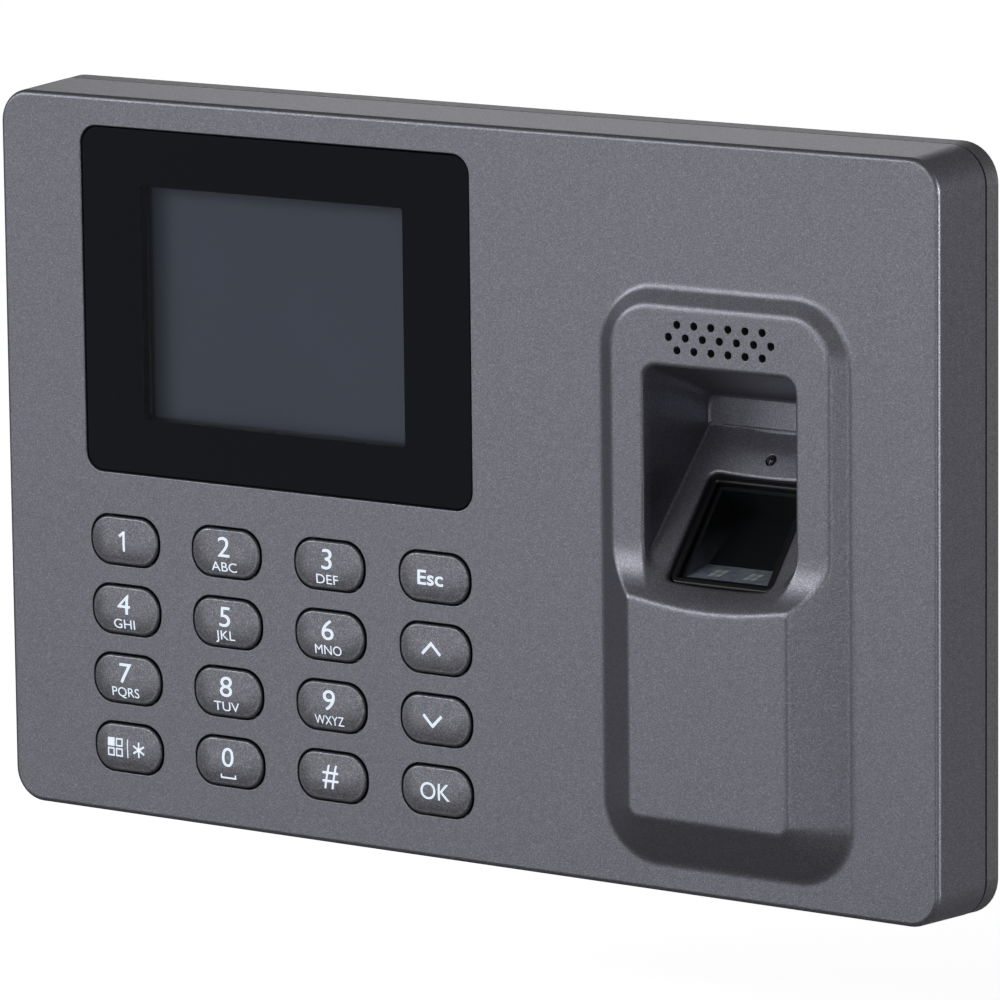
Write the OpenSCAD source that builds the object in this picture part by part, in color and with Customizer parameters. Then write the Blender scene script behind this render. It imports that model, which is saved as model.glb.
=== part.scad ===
// Wall-mounted fingerprint terminal: colour display, sixteen-key pad and a raised finger scanner.
//
// Frame, in millimetres: X runs to the right as a person faces the terminal, Z is up, and the wall
// is the plane Y = 0 with the terminal on its -Y side. Most modules work in "depth": 0 is the front
// face of the terminal, positive goes toward the wall. at_depth() moves them into the frame.

/* [Housing] */
// Width of the front face
face_w = 172.5; // [160:0.5:185]
// Height of the front face
face_h = 113.7; // [112:0.1:120]
// Corner radius of the front face
face_r = 5.2; // [4:0.1:8]
// Distance from the front face to the wall
total_depth = 30; // [29:0.5:36]
// Depth of the front cover at the visible seam
seam_depth = 12.2; // [11.5:0.1:12.5]
// Depth of the rim, front cover and rear cover together
rim_depth = 15.4; // [15.2:0.1:16.5]
// How far each side moves outward from the front face to the back of the rim
side_draft = 0.85; // [0.5:0.05:1.2]
// Wall thickness of the moulded covers
wall = 2.2; // [2:0.1:2.4]
// Width of the deep rear box
box_w = 132; // [128:1:138]
// Height of the deep rear box
box_h = 84; // [82:1:88]

/* [Display] */
// Width of the display lens
lens_w = 73.8; // [72:0.1:75]
// Height of the display lens
lens_h = 54.2; // [53:0.1:55]
// Width of the clear window in the lens
window_w = 50; // [48:0.1:52]
// Height of the clear window in the lens
window_h = 36.7; // [36:0.1:38]

/* [Keys] */
// Width of a key opening
key_hole_w = 13.6; // [13:0.05:13.8]
// Height of a key opening
key_hole_h = 8.15; // [8:0.05:8.8]
// Distance from one key column to the next
key_pitch_x = 19.84; // [19:0.01:20.5]
// Distance from one key row to the next
key_pitch_z = 11.05; // [10.8:0.01:11.3]
// Travel of a key
key_travel = 0.6; // [0.5:0.1:1]

/* [Finger scanner] */
// Width of the raised scanner housing where it meets the front face
guide_w = 43.9; // [42:0.1:45]
// Height of the raised scanner housing where it meets the front face
guide_h = 87.3; // [85:0.1:88]
// Height of the finger rest above the front face
rest_rise = 5.7; // [5:0.1:6.5]
// Height of the upper frame above the front face
frame_rise = 2; // [1.5:0.1:2.5]
// Tilt of the sensor face, measured from the vertical
sensor_tilt = 40.5; // [38:0.5:43]
// Width of the finger recess at its mouth
recess_w = 27; // [26:0.1:28]

/* [Hidden] */
$fn = 64;

cover_grey = [0.44, 0.44, 0.46];
key_grey = [0.30, 0.30, 0.32];
black = [0.08, 0.08, 0.09];
board_green = [0.10, 0.32, 0.20];
steel = [0.72, 0.73, 0.75];
brass = [0.78, 0.62, 0.30];
rubber_grey = [0.20, 0.20, 0.21];
eps = 0.01;
reach = 300;

// Housing
seal_t = 0.25;
rear_start = seam_depth + seal_t;
rear_plate_t = 2;
box_t = 2;
bracket_t = 1.5;
bracket_gap = 0.5;
box_back = total_depth - bracket_t - bracket_gap;
edge_chamfer = 0.6;
lip_h = 1.4;
lip_t = 1.2;
lip_inset = wall + 0.15;
function draft_at(depth) = side_draft * depth / rim_depth;
function outline_w(depth) = face_w + 2 * draft_at(depth);
function outline_h(depth) = face_h + 2 * draft_at(depth);
function outline_r(depth) = face_r + draft_at(depth);

// Display
lens_x = -33.5;
lens_z = 24.9;
lens_r = 3;
lens_sink = 0.25;
lens_t = 1.5;
tape_t = 0.25;
lens_floor = lens_sink + lens_t + tape_t;
display_boss_depth = 3.5;
window_x = -34;
window_z = 24.85;
lcd_w = 60.3;
lcd_h = 42.9;
lcd_front = display_boss_depth + 0.15;
lcd_glass_t = 1.3;
lcd_light_t = 1.4;
lcd_frame_t = 0.3;
lcd_back = lcd_front + lcd_glass_t + lcd_light_t;

// Keys
key_x0 = -63.1;
key_z0 = -13.05;
key_gap = 0.36;
key_w = key_hole_w - 2 * key_gap;
key_h = key_hole_h - 2 * key_gap;
key_proud = 0.65;
key_flange = 0.65;
key_flange_t = 0.8;
key_flange_start = wall + 0.15;
key_stem_r = 2;
mat_start = key_flange_start + key_flange_t + key_travel + 0.2;
mat_t = 1;
dome_gap = 0.08;
key_stem_end = mat_start + mat_t + 0.1;
dome_start = key_stem_end + key_travel + dome_gap;
dome_h = 0.8;
key_board_start = dome_start + dome_h;
key_board_t = 1.2;
key_board_w = 82;
key_board_h = 48.6;
key_board_x = -33.3;
key_board_z = -29.6;
key_post_r = 2.2;
key_post_inset = 2.6;
key_screw_length = 3.7;
key_screw_hole_end = 3.4;
key_screw_r = 1;

// Finger scanner
guide_x = 49.5;
guide_z = -8.7;
guide_run = 7.9;
guide_r = 9.6;
slope = [sin(sensor_tilt), cos(sensor_tilt)];
toe_z = -11.1;
cheek_r = 11;
recess_top = 23.4;
recess_r = 2.6;
recess_depth = 14;
recess_draft = 1.2;
recess_ceiling_drop = 6.4;
tub_t = 1.8;
groove_floor = 9.6;
groove_end = 27.5;
groove_deep = 1.2;
gasket_w = 18.4;
gasket_l = 19;
gasket_u = 4;
gasket_sink = 1.45;
gasket_t = 1.4;
gasket_rim = 1.3;
plate_t = 2.2;
sensor_w = 24;
sensor_u = 2.2;
sensor_l = 23.2;
sensor_front = gasket_sink + gasket_t + 1.1;
sensor_d = 13.5;
sensor_wall = 1.5;
led_u = 26.2;
led_r = 0.8;
led_body = 1.6;
hollow_top = -7.6;

// Speaker
speaker_x = 49.8;
speaker_z = 29.4;
speaker_w = 24;
speaker_h = 12;
speaker_start = 4.4;
speaker_t = 4;
hole_r = 0.58;
hole_pitch_x = 3;
hole_pitch_z = 1.9;
hole_z = 27.8;

// Boards
main_x = -16;
main_z = 0;
main_w = 92;
main_h = 76;
main_start = 17.5;
main_t = 1.6;
main_back = main_start + main_t;
main_posts = [[-56, -32], [-56, 32], [24, 32], [24, -32]];
post_r = 2.6;
board_screw_r = 1.2;
cover_screw_r = 1.25;
cover_boss_r = 3;
boss_x = 78.5;
boss_z = 49.5;
mid_boss_x = 15.5;
cover_bosses = [
    [-boss_x, -boss_z], [-boss_x, boss_z], [boss_x, -boss_z], [boss_x, boss_z],
    [mid_boss_x, boss_z], [mid_boss_x, -boss_z]
];
screw_sink = 1.2;
screw_head_r = 2.2;
screw_length = 8;

// Sockets in the bottom wall of the rear box
box_bottom = -box_h / 2;
usb_x = -34;
usb_depth = 22.4;
usb_w = 13.2;
usb_t = 5.8;
usb_shell = 0.4;
usb_l = 14;
jack_x = -17;
jack_depth = 22.55;
jack_w = 9;
jack_t = 6.8;
jack_l = 13;
jack_bore = 2.9;
reset_x = 12;
reset_depth = 22.4;
reset_travel = 0.6;

// Wall bracket and tamper plunger
bracket_w = 116;
bracket_top = 34;
bracket_bottom = -43.4;
hook_x = 44;
hook_w = 14;
hook_neck = 2;
hook_z = 18;
hook_tongue = 7;
hook_lift = 6;
hook_t = 1.3;
slot_clear = 0.5;
wall_hole_x = 60;
wall_hole_z = 50;
wall_hole_r = 2.2;
tab_w = 12;
tab_y = 9;
tab_gap = 0.6;
lock_y = -5.8;
lock_r = 1.5;
insert_r = 2.4;
insert_l = 4;
tamper_x = -48;
tamper_z = -6;
tamper_r = 1.6;
tamper_travel = 1.2;
tamper_gap = 0.3;

// ---------- shared shapes ----------

module at_depth(depth = 0) {
    translate([0, depth - total_depth, 0]) children();
}

// Extrudes a drawing of the front view from one depth to a deeper one.
module slab(from, to) {
    translate([0, to, 0]) rotate([90, 0, 0]) linear_extrude(to - from) children();
}

module rounded_square(w, h, r) {
    union() {
        square([w - 2 * r, h], center = true);
        square([w, h - 2 * r], center = true);
        for (sx = [-1, 1], sz = [-1, 1])
            translate([sx * (w / 2 - r), sz * (h / 2 - r)]) circle(r);
    }
}

// A block with rounded corners whose four sides spread by grow between its front and its back.
module drafted_block(w, h, r, from, to, grow) {
    cx = w / 2 - r;
    cz = h / 2 - r;
    union() {
        linear_extrude_x(-cx, cx)
            polygon([[from, -h / 2], [from, h / 2], [to, h / 2 + grow], [to, -h / 2 - grow]]);
        translate([0, 0, -cz]) linear_extrude(2 * cz)
            polygon([[-w / 2, from], [w / 2, from], [w / 2 + grow, to], [-w / 2 - grow, to]]);
        for (sx = [-1, 1], sz = [-1, 1])
            translate([sx * cx, from, sz * cz]) rotate([-90, 0, 0])
                cylinder(h = to - from, r1 = r, r2 = r + grow);
    }
}

// Extrudes a side view, drawn as [depth, height] points, along X.
module linear_extrude_x(from, to) {
    translate([from, 0, 0]) rotate([90, 0, 90]) linear_extrude(to - from) children();
}

module along_depth(from, to, r) {
    translate([0, from, 0]) rotate([-90, 0, 0]) cylinder(h = to - from, r = r);
}

module screw(head_r, head_h, r, length) {
    union() {
        along_depth(-length, 0, r);
        difference() {
            along_depth(0, head_h, head_r);
            for (turn = [0, 90])
                rotate([0, turn, 0]) translate([-head_r * 0.6, head_h * 0.45, -0.25])
                    cube([head_r * 1.2, head_h, 0.5]);
        }
    }
}

// ---------- covers ----------

module outer_block(from, to, inset = 0) {
    drafted_block(outline_w(from) - 2 * inset, outline_h(from) - 2 * inset,
        outline_r(from) - inset, from, to, draft_at(to) - draft_at(from));
}

module front_outer() {
    union() {
        drafted_block(outline_w(edge_chamfer) - 2 * edge_chamfer,
            outline_h(edge_chamfer) - 2 * edge_chamfer,
            outline_r(edge_chamfer) - edge_chamfer, 0, edge_chamfer, edge_chamfer);
        outer_block(edge_chamfer, seam_depth);
    }
}

// The raised scanner housing before anything is cut from it.
module guide_block() {
    translate([guide_x, 0, guide_z])
        drafted_block(guide_w - 2 * guide_run, guide_h - 2 * guide_run, guide_r - guide_run,
            -rest_rise, 0, guide_run);
}

// The side view of everything in front of the upper frame, the cheeks and the sensor slope.
module cheek_profile() {
    bend = cheek_r * tan(sensor_tilt / 2);
    corner_z = toe_z + (rest_rise - frame_rise) / tan(sensor_tilt);
    far = 30;
    difference() {
        polygon([
            [-frame_rise, far * 2],
            [-frame_rise, corner_z],
            [-rest_rise - far * slope[0], toe_z - far * slope[1]],
            [-rest_rise - far * 2, toe_z - far * slope[1]],
            [-rest_rise - far * 2, far * 2]
        ]);
        difference() {
            polygon([
                [-frame_rise, corner_z + bend],
                [-frame_rise, corner_z],
                [-frame_rise - bend * slope[0], corner_z - bend * slope[1]]
            ]);
            translate([-frame_rise - cheek_r, corner_z + bend]) circle(cheek_r, $fn = 128);
        }
    }
}

module sensor_frame() {
    translate([guide_x, -rest_rise, toe_z]) rotate([-sensor_tilt, 0, 0]) children();
}

// In sensor_frame, Z runs up the slope and Y runs straight into it.
module sensor_slab(w, u0, u1, n0, n1, r = 0) {
    translate([0, n1, (u0 + u1) / 2]) rotate([90, 0, 0]) linear_extrude(n1 - n0)
        if (r > 0) rounded_square(w, u1 - u0, r);
        else square([w, u1 - u0], center = true);
}

module above_slope(sink = 0) {
    sensor_frame() translate([-30, sink - 60, -30]) cube([60, 60, 90]);
}

module below_slope(sink = 0) {
    sensor_frame() translate([-30, sink, -30]) cube([60, 60, 90]);
}

module recess_block(margin = 0, deep = 0) {
    tall = 60;
    translate([guide_x, 0, recess_top - tall / 2]) mirror([0, 1, 0])
        drafted_block(recess_w - 2 * recess_draft + 2 * margin,
            tall - 2 * recess_draft + 2 * margin, recess_r - recess_draft / 2 + margin,
            -recess_depth - deep, frame_rise, recess_draft);
}

module below_ceiling(margin = 0) {
    linear_extrude_x(0, 100)
        polygon([
            [-frame_rise - 20, recess_top + margin],
            [-frame_rise, recess_top + margin],
            [recess_depth + 10,
             recess_top + margin - recess_ceiling_drop * (recess_depth + 10 + frame_rise)
                / (recess_depth + frame_rise)],
            [recess_depth + 10, -60],
            [-frame_rise - 20, -60]
        ]);
}

module recess_cut() {
    intersection() {
        union() {
            recess_block();
            translate([guide_x - recess_w / 2, -rest_rise - 10, recess_top - 40])
                cube([recess_w, rest_rise + 10 - frame_rise, 30]);
        }
        below_ceiling();
        above_slope();
    }
}

// The shallow trough that leads a finger down the rest and onto the sensor.
module finger_groove() {
    mouth = recess_w / 2 - recess_draft - 0.2;
    sensor_frame() translate([0, 0, -6]) linear_extrude(groove_end + 6)
        polygon([[-mouth, -20], [-mouth, 0], [-groove_floor, groove_deep], [groove_floor, groove_deep],
                 [mouth, 0], [mouth, -20]]);
}

module tub() {
    difference() {
        intersection() {
            recess_block(tub_t, tub_t);
            below_ceiling(tub_t);
        }
        below_slope(plate_t);
    }
}

module slope_plate() {
    intersection() {
        sensor_frame() translate([-recess_w / 2 - 1, 0, 1])
            cube([recess_w + 2, plate_t, 29]);
        union() {
            guide_block();
            slab(-eps, recess_depth + tub_t) translate([guide_x, 0])
                square([recess_w + 2, 80], center = true);
        }
    }
}

// The space behind the finger rest.
module rest_hollow() {
    difference() {
        translate([guide_x, 0, guide_z])
            drafted_block(guide_w - 2 * guide_run - wall, guide_h - 2 * guide_run - wall,
                0.8, wall - rest_rise, wall + eps, guide_run);
        above_slope(plate_t);
        slab(-20, 20) translate([guide_x, hollow_top + 40]) square([60, 80], center = true);
    }
}

module sensor_window() {
    sensor_frame() {
        sensor_slab(gasket_w + 0.1, gasket_u - 0.05, gasket_u + gasket_l + 0.05, -eps, 10, 1.5);
    }
}

module speaker_holes() {
    for (row = [-1, 0, 1])
        for (i = [0 : (row == 0 ? 6 : 5)])
            translate([speaker_x + hole_pitch_x * (i - (row == 0 ? 3 : 2.5)), 0,
                       hole_z + row * hole_pitch_z])
                along_depth(-frame_rise - 1, wall + 1, hole_r, $fn = 24);
}

module key_places() {
    for (row = [0 : 3], col = [0 : 3])
        translate([key_x0 + col * key_pitch_x, 0, key_z0 - row * key_pitch_z]) children();
}

module key_post_places() {
    for (sx = [-1, 1], sz = [-1, 1])
        translate([key_board_x + sx * (key_board_w / 2 - key_post_inset), 0,
                   key_board_z + sz * (key_board_h / 2 - key_post_inset)]) children();
}

module cover_boss_places() {
    for (p = cover_bosses) translate([p[0], 0, p[1]]) children();
}

module front_cover() {
    color(cover_grey) at_depth() difference() {
        union() {
            difference() {
                front_outer();
                drafted_block(outline_w(wall) - 2 * wall, outline_h(wall) - 2 * wall,
                    outline_r(wall) - wall, wall, seam_depth + eps,
                    draft_at(seam_depth) - draft_at(wall));
            }
            slab(wall - eps, display_boss_depth)
                translate([lens_x, lens_z]) rounded_square(lens_w + 3, lens_h + 3, lens_r + 1);
            difference() {
                guide_block();
                linear_extrude_x(0, 100) cheek_profile();
            }
            tub();
            slope_plate();
            cover_boss_places() along_depth(wall - eps, seam_depth + 0.9, cover_boss_r);
            key_post_places() along_depth(wall - eps, key_board_start - 0.05, key_post_r);
        }
        slab(-1, lens_floor)
            translate([lens_x, lens_z]) rounded_square(lens_w + 0.2, lens_h + 0.2, lens_r + 0.1);
        slab(-1, 10)
            translate([window_x, window_z]) rounded_square(window_w + 2, window_h + 1.6, 1);
        key_places() slab(-1, wall + 1) rounded_square(key_hole_w, key_hole_h, key_hole_h / 2 - 0.4);
        recess_cut();
        finger_groove();
        rest_hollow();
        sensor_window();
        speaker_holes();
        sensor_frame() translate([0, 0, led_u]) along_depth(-2, 8, led_r + 0.02, $fn = 32);
        cover_boss_places()
            along_depth(screw_from_depth(), seam_depth + 2, cover_screw_r + 0.02);
        key_post_places() along_depth(key_screw_hole_end, key_board_start + 1, key_screw_r + 0.02);
    }
}

function screw_from_depth() = rim_depth - screw_sink - screw_length - 0.4;

module hook_slot(w, from, to) {
    translate([-w / 2, from, hook_z + hook_neck + 0.05 - (hook_tongue + hook_neck)])
        cube([w, to - from, hook_tongue + hook_neck]);
}

module rear_cover() {
    color(cover_grey * 0.8) at_depth() difference() {
        union() {
            outer_block(rear_start, rim_depth);
            difference() {
                drafted_block(outline_w(rear_start) - 2 * lip_inset,
                    outline_h(rear_start) - 2 * lip_inset, outline_r(rear_start) - lip_inset,
                    rear_start - lip_h, rear_start + eps, 0);
                drafted_block(outline_w(rear_start) - 2 * lip_inset - 2 * lip_t,
                    outline_h(rear_start) - 2 * lip_inset - 2 * lip_t,
                    outline_r(rear_start) - lip_inset - lip_t,
                    rear_start - lip_h - 1, rear_start + 1, 0);
            }
            slab(rim_depth - eps, box_back) rounded_square(box_w, box_h, 5);
        }
        // inside of the rim
        slab(rear_start - 2, rim_depth - rear_plate_t)
            rounded_square(outline_w(rear_start) - 2 * lip_inset - 2 * lip_t,
                outline_h(rear_start) - 2 * lip_inset - 2 * lip_t,
                outline_r(rear_start) - lip_inset - lip_t);
        // inside of the box
        slab(rear_start - 2, box_back - box_t)
            rounded_square(box_w - 2 * box_t, box_h - 2 * box_t, 3);
        // clearance for the bosses of the front cover
        cover_boss_places() {
            along_depth(rear_start - 2, rim_depth - rear_plate_t, cover_boss_r + 0.2);
            along_depth(rear_start, rim_depth + 1, cover_screw_r + 0.2);
            along_depth(rim_depth - screw_sink, rim_depth + 1, screw_head_r + 0.3);
        }
        for (sx = [-1, 1]) translate([sx * hook_x, 0, 0])
            hook_slot(hook_w + 2 * slot_clear, box_back - box_t - 1, box_back + 1);
        translate([tamper_x, 0, tamper_z])
            along_depth(box_back - box_t - 1, box_back + 1, tamper_r + 0.3);
        socket_cuts();
    }
    color(cover_grey * 0.8) at_depth() {
        for (p = main_posts) translate([p[0], 0, p[1]]) difference() {
            along_depth(main_back, box_back - box_t + eps, post_r);
            along_depth(main_back - 1, box_back - box_t - 1, board_screw_r + 0.02);
        }
        translate([0, lock_y + total_depth, box_bottom]) difference() {
            translate([-4.2, -4.2, 1]) cube([8.4, 8.4, insert_l + 1]);
            translate([0, 0, -1]) cylinder(h = insert_l + 2, r = insert_r + 0.02);
        }
    }
}

module socket_cuts() {
    translate([usb_x - usb_w / 2 - 0.3, usb_depth - usb_t / 2 - 0.3, box_bottom - 1])
        cube([usb_w + 0.6, usb_t + 0.6, box_t + 1.5]);
    translate([jack_x, jack_depth, box_bottom - 1]) cylinder(h = box_t + 2, r = jack_bore + 0.3);
    translate([reset_x, reset_depth, box_bottom - 1]) cylinder(h = box_t + 2, r = 1.7);
    translate([0, lock_y + total_depth, box_bottom - 1])
        cylinder(h = insert_l + 1, r = insert_r + 0.02);
}

module cover_seal() {
    inset = 0.5;
    color(black) at_depth() slab(seam_depth, rear_start) difference() {
        rounded_square(outline_w(seam_depth) - 2 * inset, outline_h(seam_depth) - 2 * inset,
            outline_r(seam_depth) - inset);
        rounded_square(outline_w(seam_depth) - 2 * wall, outline_h(seam_depth) - 2 * wall,
            outline_r(seam_depth) - wall);
    }
}

module cover_screws() {
    color(steel) at_depth(rim_depth - screw_sink) cover_boss_places()
        screw(screw_head_r, screw_sink - 0.1, cover_screw_r, screw_length);
}

// ---------- display ----------

module display_lens() {
    color(black) at_depth() slab(lens_sink, lens_sink + lens_t)
        translate([lens_x, lens_z]) rounded_square(lens_w, lens_h, lens_r);
}

module lens_tape() {
    color(black) at_depth() slab(lens_sink + lens_t, lens_floor) difference() {
        translate([lens_x, lens_z]) rounded_square(lens_w - 1, lens_h - 1, lens_r - 0.5);
        translate([window_x, window_z]) rounded_square(window_w + 4, window_h + 4, 1);
    }
}

module lcd_glass() {
    color([0.24, 0.27, 0.31]) at_depth() slab(lcd_front, lcd_front + lcd_glass_t)
        translate([window_x, window_z]) square([lcd_w - 2, lcd_h - 2], center = true);
}

module lcd_backlight() {
    color([0.9, 0.9, 0.88]) at_depth() slab(lcd_front + lcd_glass_t, lcd_back)
        translate([window_x, window_z]) square([lcd_w - 1, lcd_h - 1], center = true);
}

module lcd_frame() {
    color(steel) at_depth() slab(lcd_front, lcd_back + lcd_frame_t)
        translate([window_x, window_z]) difference() {
            square([lcd_w + 2 * lcd_frame_t, lcd_h + 2 * lcd_frame_t], center = true);
            square([lcd_w - 0.9, lcd_h - 0.9], center = true);
        }
}

// A flat ribbon that leaves the display, turns back over the main board and lies on it.
module lcd_ribbon() {
    t = 0.3;
    top = lcd_back + 0.05;
    color([0.75, 0.5, 0.2]) at_depth() translate([window_x - 9, 0, 8]) union() {
        translate([0, top, 0]) cube([18, t, 14]);
        translate([0, top, 0]) cube([18, main_start - 1 - top, t]);
        translate([0, main_start - 1, 0]) cube([18, 0.95, 8]);
    }
}

// ---------- keypad ----------

module key_cap(row, col) {
    r = key_h / 2 - 0.2;
    crown = 0.22;
    color(key_grey) at_depth()
        translate([key_x0 + col * key_pitch_x, 0, key_z0 - row * key_pitch_z]) union() {
            slab(-key_proud + 2 * crown, key_flange_start) rounded_square(key_w, key_h, r);
            drafted_block(key_w - crown, key_h - crown, r - crown / 2,
                -key_proud + crown, -key_proud + 2 * crown + eps, crown / 2);
            drafted_block(key_w - 4 * crown, key_h - 4 * crown, r - 2 * crown,
                -key_proud, -key_proud + crown + eps, 1.5 * crown);
            slab(key_flange_start, key_flange_start + key_flange_t)
                rounded_square(key_hole_w + 2 * key_flange, key_hole_h + 2 * key_flange, r);
            along_depth(key_flange_start, key_stem_end, key_stem_r);
        }
}

module keypad_mat() {
    color(rubber_grey) at_depth() difference() {
        slab(mat_start, mat_start + mat_t)
            translate([key_board_x, key_board_z]) rounded_square(key_board_w, key_board_h, 2);
        key_places() along_depth(mat_start - 1, mat_start + 2, key_stem_r + 0.5);
        key_post_places() along_depth(mat_start - 1, mat_start + 2, key_post_r + 0.3);
    }
}

module key_domes() {
    color(steel) at_depth() key_places() union() {
        along_depth(dome_start, key_board_start, 2);
        along_depth(dome_start + 0.4, key_board_start, 3);
    }
}

module key_board() {
    color(board_green) at_depth() difference() {
        slab(key_board_start, key_board_start + key_board_t)
            translate([key_board_x, key_board_z]) rounded_square(key_board_w, key_board_h, 2);
        key_post_places() along_depth(key_board_start - 1, key_board_start + 3, key_screw_r + 0.2);
    }
}

module key_board_screws() {
    color(steel) at_depth(key_board_start + key_board_t) key_post_places()
        screw(2, 0.8, key_screw_r, key_screw_length);
}

// ---------- main board ----------

module main_board() {
    color(board_green) at_depth() difference() {
        slab(main_start, main_back) translate([main_x, main_z]) rounded_square(main_w, main_h, 1.5);
        for (p = main_posts) translate([p[0], 0, p[1]])
            along_depth(main_start - 1, main_back + 1, board_screw_r + 0.2);
    }
}

module chip(x, z, w, h, t) {
    translate([x - w / 2, main_back, z - h / 2]) cube([w, t, h]);
}

module main_chips() {
    color(black) at_depth() {
        chip(-24, 12, 14, 14, 1.4);
        chip(-4, 14, 11, 8, 1.1);
        chip(-4, -2, 9, 12, 1.2);
        chip(-26, -8, 6, 5, 1.2);
        chip(-42, -19, 8, 8, 3);
        chip(-26, -21, 5, 7, 2.5);
    }
}

module board_screws() {
    color(steel) at_depth(main_start) mirror([0, 1, 0])
        for (p = main_posts) translate([p[0], 0, p[1]]) screw(2.3, 1, board_screw_r, 6);
}

module board_link() {
    t = 0.3;
    start = key_board_start + key_board_t;
    color([0.85, 0.85, 0.82]) at_depth() translate([-44, 0, -26]) union() {
        translate([0, start, 0]) cube([16, 0.9, 6]);
        translate([0, start, 6 - t]) cube([16, main_start - start, t]);
        translate([0, main_start - 0.9, 6 - t]) cube([16, 0.9, 5]);
    }
}

module backup_cell() {
    color(steel) at_depth() translate([16, 0, 12])
        along_depth(main_back + 0.8, main_back + 4, 10);
}

module cell_holder() {
    color(black) at_depth() translate([16, 0, 12]) difference() {
        along_depth(main_back, main_back + 4.2, 11.4);
        along_depth(main_back + 0.8, main_back + 5, 10.05);
        translate([-3, main_back + 2.4, 6]) cube([6, 3, 8]);
    }
}

// ---------- finger sensor ----------

module sensor_gasket() {
    inner_w = gasket_w - 2 * gasket_rim;
    color(black) at_depth() sensor_frame() difference() {
        sensor_slab(gasket_w, gasket_u, gasket_u + gasket_l, gasket_sink, gasket_sink + gasket_t, 1.4);
        sensor_slab(inner_w, gasket_u + gasket_rim, gasket_u + gasket_l - gasket_rim,
            gasket_sink - 1, gasket_sink + gasket_t + 1);
    }
}

module sensor_prism() {
    w = gasket_w - 2 * gasket_rim - 0.1;
    u0 = gasket_u + gasket_rim + 0.05;
    u1 = gasket_u + gasket_l - gasket_rim - 0.05;
    front = gasket_sink + 0.5;
    color([0.5, 0.6, 0.66]) at_depth() sensor_frame() translate([-w / 2, 0, 0])
        rotate([90, 0, 90]) linear_extrude(w)
            polygon([[front, u0], [front, u1], [front + 4.2, u1 - 0.2],
                     [front + 9, u0 + 5], [front + 4.2, u0 + 0.2]]);
}

module sensor_housing() {
    back = sensor_front + sensor_d;
    w = gasket_w - 2 * gasket_rim;
    color(black) at_depth() sensor_frame() difference() {
        union() {
            sensor_slab(sensor_w, sensor_u, sensor_u + sensor_l, sensor_front, back);
            // frame that holds the gasket and the prism in the window of the cover
            sensor_slab(gasket_w - 0.4, gasket_u + 0.2, gasket_u + gasket_l - 0.2,
                gasket_sink + gasket_t, sensor_front + eps, 1.2);
        }
        sensor_slab(w, gasket_u + gasket_rim, gasket_u + gasket_l - gasket_rim, 0, back - 2);
        sensor_slab(sensor_w - 2 * sensor_wall, sensor_u + sensor_wall,
            sensor_u + sensor_l - sensor_wall, sensor_front + 1.5, back - 2);
        translate([0, 0, sensor_u + 8]) along_depth(back - 4, back + 1, 3.02);
        for (sx = [-1, 1], su = [2.4, sensor_l - 2.4])
            translate([sx * (sensor_w / 2 - 0.9), 0, sensor_u + su])
                along_depth(back - 6, back + 1, 0.52, $fn = 24);
    }
}

module sensor_lights() {
    color([0.9, 0.95, 1]) at_depth() sensor_frame()
        for (side = [-1, 1])
            translate([side * 4 - 1.4, gasket_sink + 5.2, gasket_u + gasket_rim])
                cube([2.8, 1.6, 0.24]);
}

module sensor_lens() {
    back = sensor_front + sensor_d;
    color([0.15, 0.15, 0.2]) at_depth() sensor_frame()
        translate([0, 0, sensor_u + 8]) union() {
            along_depth(back - 4, back, 3);
            along_depth(back - 3.2 - 1.6, back - 3.9, 2.2);
        }
}

module sensor_board() {
    back = sensor_front + sensor_d;
    color(board_green) at_depth() sensor_frame() union() {
        difference() {
            sensor_slab(sensor_w, sensor_u, sensor_u + sensor_l, back + eps, back + 1.2);
            for (sx = [-1, 1], su = [2.4, sensor_l - 2.4])
                translate([sx * (sensor_w / 2 - 0.9), 0, sensor_u + su])
                    along_depth(back - 1, back + 3, 0.52, $fn = 24);
        }
        sensor_slab(9, sensor_u + 3.5, sensor_u + 12.5, back + 1.1, back + 2.2);
    }
}

module sensor_screws() {
    back = sensor_front + sensor_d;
    color(steel) at_depth() sensor_frame()
        for (sx = [-1, 1], su = [2.4, sensor_l - 2.4])
            translate([sx * (sensor_w / 2 - 0.9), back + 1.2, sensor_u + su])
                screw(0.85, 0.5, 0.5, 5);
}

// A flat cable from the main board to the back of the sensor board.
module sensor_cable() {
    t = 0.4;
    run_x = 27;
    run_z = -30;
    leg_x = 40;
    leg_w = 4;
    color([0.85, 0.85, 0.82]) at_depth() union() {
        translate([run_x, main_start - t - 0.1, run_z]) cube([leg_x + leg_w - run_x, t, 6]);
        sensor_frame() translate([leg_x - guide_x, sensor_front + sensor_d + 1.25, 3])
            cube([leg_w, 8.9, t]);
    }
}

module proximity_led() {
    color([0.1, 0.1, 0.12]) at_depth() sensor_frame() translate([0, 0, led_u]) union() {
        along_depth(groove_deep - 0.1, plate_t, led_r, $fn = 32);
        along_depth(plate_t, plate_t + led_body, led_r + 0.5, $fn = 32);
    }
}

// ---------- speaker ----------

module speaker_place(from, to, w, h, r = 1.5) {
    slab(from, to) translate([speaker_x, speaker_z]) rounded_square(w, h, r);
}

module speaker() {
    color([0.25, 0.25, 0.27]) at_depth() union() {
        speaker_place(speaker_start, speaker_start + speaker_t, speaker_w, speaker_h);
        speaker_place(speaker_start + speaker_t - eps, speaker_start + speaker_t + 1.4, 12, 8, 2);
    }
}

module speaker_seal() {
    color(rubber_grey) at_depth() difference() {
        speaker_place(wall + 0.3, speaker_start, speaker_w, speaker_h);
        speaker_place(wall, speaker_start + 1, speaker_w - 3, speaker_h - 3, 1);
    }
}

module speaker_mesh() {
    color(black) at_depth() speaker_place(wall + 0.05, wall + 0.3, speaker_w - 1, speaker_h - 1);
}

// ---------- sockets, switches ----------

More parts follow.
